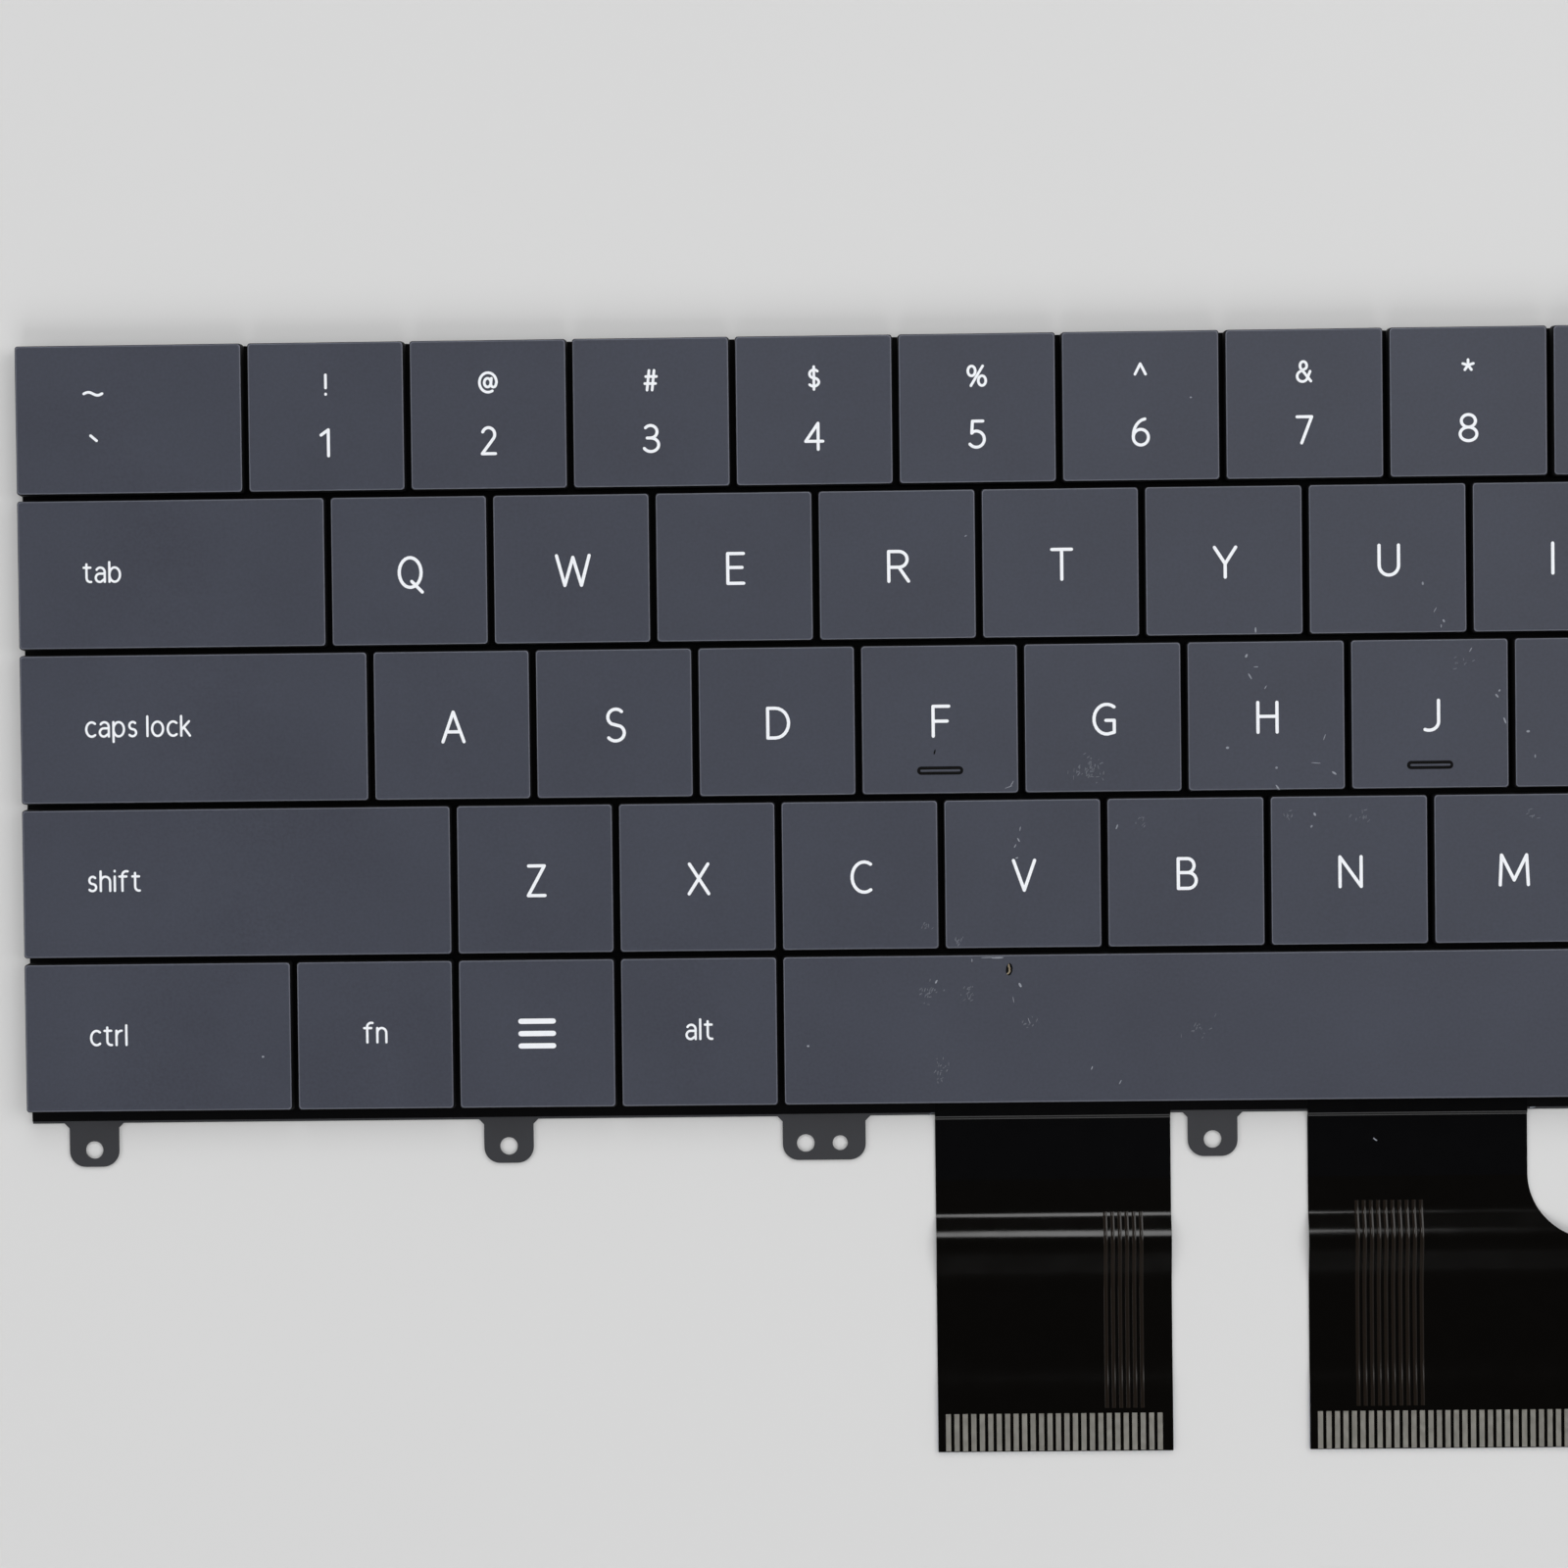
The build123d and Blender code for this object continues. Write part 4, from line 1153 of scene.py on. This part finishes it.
# Polyester stiffener: a dull blue film behind the contacts
blue_film = two_tone_finish("blue_polyester", "1E3A66", "24426F", size=2.0, roughness=0.45)
refinish("tail_stiffeners", blue_film)
print("finishes:", *FILMS, tinned_copper.name)

# %% Tails
FOOT_START, FOOT_RADIUS, FOOT_REACH = 7.55, 7.80, 11.0
DOUBLE_FILM = 7.55  # beyond this distance from the plate's edge the film is single and a little brown
on_plate, at_edge = np.arange(-TAIL_LAP, 0, TAIL_STEP), np.arange(0, EDGE_END, EDGE_STEP)
stations = np.concatenate([on_plate, at_edge, np.arange(EDGE_END, TAIL_OUT, TAIL_STEP), [TAIL_OUT]])
tails = {}
for name, footed in (("left_tail", False), ("right_tail", True)):
    low, high = (np.array(corner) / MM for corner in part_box(name))
    narrow_right = high[0] - (FOOT_REACH if footed else 0)
    right = np.full(len(stations), narrow_right)
    if footed:
        right = right + flare(stations, FOOT_START, FOOT_RADIUS, FOOT_REACH)
    points, quads = tail_shell(low[0], right, stations)
    side_slots = np.repeat(stations[:-1] > DOUBLE_FILM, 2 * TAIL_COLUMNS)
    end_slots = np.repeat([False, True], TAIL_COLUMNS - 1)
    slots = np.concatenate([side_slots, end_slots])
    tail = add_piece(f"{name}_film", points, quads, [cover_film, thin_film], slots)
    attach(tail, "base")
    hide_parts(name)
    tails[name] = (low[0], narrow_right, high[0])
print("tails:", {name: tuple(round(float(v), 2) for v in edges) for name, edges in tails.items()})

# %% [markdown]
# Copper lines press through the cover film as fine ribs, seen where the tail bends through the light, and end
# in bare tinned contacts. Both are narrow bands on the same line as the tail, a few hundredths proud of it.

# %% Ribs and contacts
RIB_PITCH, RIB_WIDTH, RIB_RISE, RIB_CROWN = 0.84, 0.46, 0.01, 0.05
CONTACT_PITCH, CONTACT_WIDTH, CONTACT_RISE, CONTACT_LENGTH = 1.0, 0.6, 0.03, 4.5
RIB_STATIONS, RIB_COLUMNS = 90, 7
CONTACT_STATIONS, CONTACT_SETBACK = 8, 0.1
BAND_SINK = 0.02
END_MARGIN = 0.6
# tail, first rib from the tail's left edge, number of ribs, where they start beyond the plate's edge
RIBS = [("left_tail", 19.95, 6, 11.7), ("right_tail", 5.7, 10, 10.6)]


def band(x, width, out, rise, columns=3, crown=0.0):
    """A narrow strip on the tail, from the film's surface up."""
    edges = np.full(len(out), x + width / 2)
    return tail_shell(x - width / 2, edges, out, TAIL_T - BAND_SINK, rise + BAND_SINK, columns, crown)


for name, first, count, start in RIBS:
    out = np.linspace(start, TAIL_OUT - CONTACT_LENGTH - END_MARGIN, RIB_STATIONS)
    middles_x = tails[name][0] + first + np.arange(count) * RIB_PITCH
    points, quads = gather([band(x, RIB_WIDTH, out, RIB_RISE, RIB_COLUMNS, RIB_CROWN) for x in middles_x])
    ribs = add_piece(f"{name}_ribs", points, quads, [film_on_copper])
    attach(ribs, "base")
    left, _, right = tails[name]
    out = np.linspace(TAIL_OUT - CONTACT_LENGTH, TAIL_OUT - CONTACT_SETBACK, CONTACT_STATIONS)
    fingers = np.arange(left + END_MARGIN + CONTACT_WIDTH, right - END_MARGIN, CONTACT_PITCH)
    points, quads = gather([band(x, CONTACT_WIDTH, out, CONTACT_RISE) for x in fingers])
    contacts = add_piece(f"{name}_contacts", points, quads, [tinned_copper])
    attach(contacts, "base")
    print(name, "ribs:", count, "contacts:", len(fingers))

# %% [markdown]
# Where the sheet was trimmed beside the tails, a burr of pale film stands on the plate's front edge, and a
# grain or two of dust lies on the film. The burr is a pen stroke like the print, only on the plate.

# %% Film burr and dust on the base
BURR_ARC = arc(-35.3, front_edge - 0.05, 0.95, 0.38, 10, 170)
BURR_PEN = 0.13
BURR_HEIGHT = 0.46
BASE_GRAINS = [(16.3, -50.1, 0.3, 0.09, 145), (34.9, -46.4, 0.5, 0.14, 15)]


def base_surface(xy):
    """Top of the tails in front of the plate, top of the plate behind its edge."""
    out = front_edge - xy[:, 1]
    return tail_height(out) + np.where(out > 0, TAIL_T, 0.0)


points, quads = gather(ink_shells([BURR_ARC], BURR_PEN, lambda xy: np.full(len(xy), BURR_HEIGHT)))
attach(add_piece("film_burr", points, quads, [rubbed_coat]), "base")
points, quads = gather([blob_shell(*mark, base_surface, GRAIN_RISE) for mark in BASE_GRAINS])
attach(add_piece("grains_base", points, quads, [pale_dust_and_highlight]), "base")
print("burr and grains on the base:", 1 + len(BASE_GRAINS))

# %% [markdown]
# The floor is a plain pale sheet. Four wide soft lamps stand round the keyboard at a slant, so the flat tops
# are lit evenly while only rolled edges and bends mirror a lamp. A small one overhead puts a broad sheen on
# the middle of the matt caps. The camera and reflections see a pale room behind the floor, but reflections
# see it low down alone: overhead it stays dim, which keeps the glossy tails black.

# %% Floor and light
FLOOR_COLOUR, FLOOR_COLOUR_DARK = "D8D8D8", "D6D6D6"
FLOOR_SIZE = 4.0
FLOOR_DROP = 0.03  # millimetres under the plate, so that the two never share a plane
FADE_START, FADE_END = 0.3, 0.75
# direction on the floor in degrees, distance, height, size and power
LAMPS = {
    "right": (15, 0.95, 1.05, 0.9, 6.9),
    "back": (90, 1.1, 1.0, 0.9, 6.6),
    "left": (180, 1.15, 0.95, 0.9, 5.6),
    "front": (270, 1.15, 0.95, 0.9, 6.6),
    "above": (60, 0.14, 1.2, 0.22, 1.1),
}
ROOM_AT_HORIZON, ROOM_OVERHEAD = 0.5, 0.02
DIM_FROM, DIM_TO = 0.3, 0.9  # sine of the angle above the horizon


def sight(tree, reflected_share):
    """1 for rays from the camera, and this share for rays by way of gloss or glass; 0 for plain light."""
    path = add_node(tree, "ShaderNodeLightPath").outputs
    either = {0: path["Is Glossy Ray"], 1: path["Is Transmission Ray"]}
    reflected = add_node(tree, "ShaderNodeMath", either, operation="MAXIMUM").outputs["Value"]
    summed = {0: reflected, 1: reflected_share, 2: path["Is Camera Ray"]}
    seen = add_node(tree, "ShaderNodeMath", summed, operation="MULTIPLY_ADD", use_clamp=True)
    return seen.outputs["Value"]


def pale_floor_finish():
    """Matt pale board round the keyboard; farther out it fades into the even tone of the room behind it."""
    tones = (FLOOR_COLOUR_DARK, FLOOR_COLOUR)
    material = two_tone_finish("pale_board", *tones, size=60.0, roughness=0.8, shine=0.2)
    tree = material.node_tree
    place = add_node(tree, "ShaderNodeTexCoord").outputs["Object"]
    reach = add_node(tree, "ShaderNodeVectorMath", {0: place}, operation="LENGTH")
    limits = {"Value": reach.outputs["Value"], "From Min": FADE_START, "From Max": FADE_END}
    far = add_node(tree, "ShaderNodeMapRange", limits, interpolation_type="SMOOTHSTEP")
    factors = {0: far.outputs["Result"], 1: sight(tree, 1.0)}
    share = add_node(tree, "ShaderNodeMath", factors, operation="MULTIPLY")
    even = add_node(tree, "ShaderNodeEmission", {"Color": linear(FLOOR_COLOUR)})
    board = next(node for node in tree.nodes if node.type == "BSDF_PRINCIPLED").outputs["BSDF"]
    blend = add_node(
        tree,
        "ShaderNodeMixShader",
        {0: share.outputs["Value"], 1: board, 2: even.outputs["Emission"]},
    )
    output = next(node for node in tree.nodes if node.type == "OUTPUT_MATERIAL")
    tree.links.new(blend.outputs["Shader"], output.inputs["Surface"])
    return material


half = FLOOR_SIZE / 2
floor_mesh = bpy.data.meshes.new("floor")
corners = [(x * half, y * half, -FLOOR_DROP * MM) for x, y in ((-1, -1), (1, -1), (1, 1), (-1, 1))]
floor_mesh.from_pydata(corners, [], [(0, 1, 2, 3)])
floor_mesh.materials.append(pale_floor_finish())
floor = bpy.data.objects.new("floor", floor_mesh)
bpy.context.scene.collection.objects.link(floor)
floor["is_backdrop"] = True

for side, (angle, distance, height, size, power) in LAMPS.items():
    lamp = bpy.data.lights.new(f"soft_{side}", "AREA")
    lamp.size = size
    lamp.energy = power
    holder = bpy.data.objects.new(lamp.name, lamp)
    holder.location = (distance * np.cos(np.radians(angle)), distance * np.sin(np.radians(angle)), height)
    holder.rotation_mode = "QUATERNION"
    holder.rotation_quaternion = holder.location.to_track_quat("Z", "Y")
    bpy.context.scene.collection.objects.link(holder)

world = bpy.data.worlds.new("room")
world.use_nodes = True
room = world.node_tree
direction = add_node(room, "ShaderNodeTexCoord").outputs["Generated"]
height = add_node(room, "ShaderNodeSeparateXYZ", {"Vector": direction}).outputs["Z"]
band_of_sky = {"Value": height, "From Min": DIM_FROM, "From Max": DIM_TO}
dimming = {**band_of_sky, "To Min": ROOM_AT_HORIZON, "To Max": ROOM_OVERHEAD}
level = add_node(room, "ShaderNodeMapRange", dimming, interpolation_type="SMOOTHSTEP").outputs["Result"]
fading = {**band_of_sky, "To Min": 1.0, "To Max": 0.0}
low_down = add_node(room, "ShaderNodeMapRange", fading, interpolation_type="SMOOTHSTEP").outputs["Result"]
light = room.nodes["Background"]
room.links.new(level, light.inputs["Strength"])
light.inputs["Color"].default_value = (1, 1, 1, 1)
backdrop = add_node(room, "ShaderNodeBackground", {"Color": linear(FLOOR_COLOUR)})
either = add_node(
    room,
    "ShaderNodeMixShader",
    {0: sight(room, low_down), 1: light.outputs["Background"], 2: backdrop.outputs["Background"]},
)
room.links.new(either.outputs["Shader"], room.nodes["World Output"].inputs["Surface"])
bpy.context.scene.world = world
bpy.context.scene.view_settings.view_transform = "Standard"
print("lamps:", len(LAMPS), "room:", ROOM_AT_HORIZON, "to", ROOM_OVERHEAD)

# %% Sizes and finish
low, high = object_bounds()
print("box:", [round(v / MM, 2) for v in low], [round(v / MM, 2) for v in high])
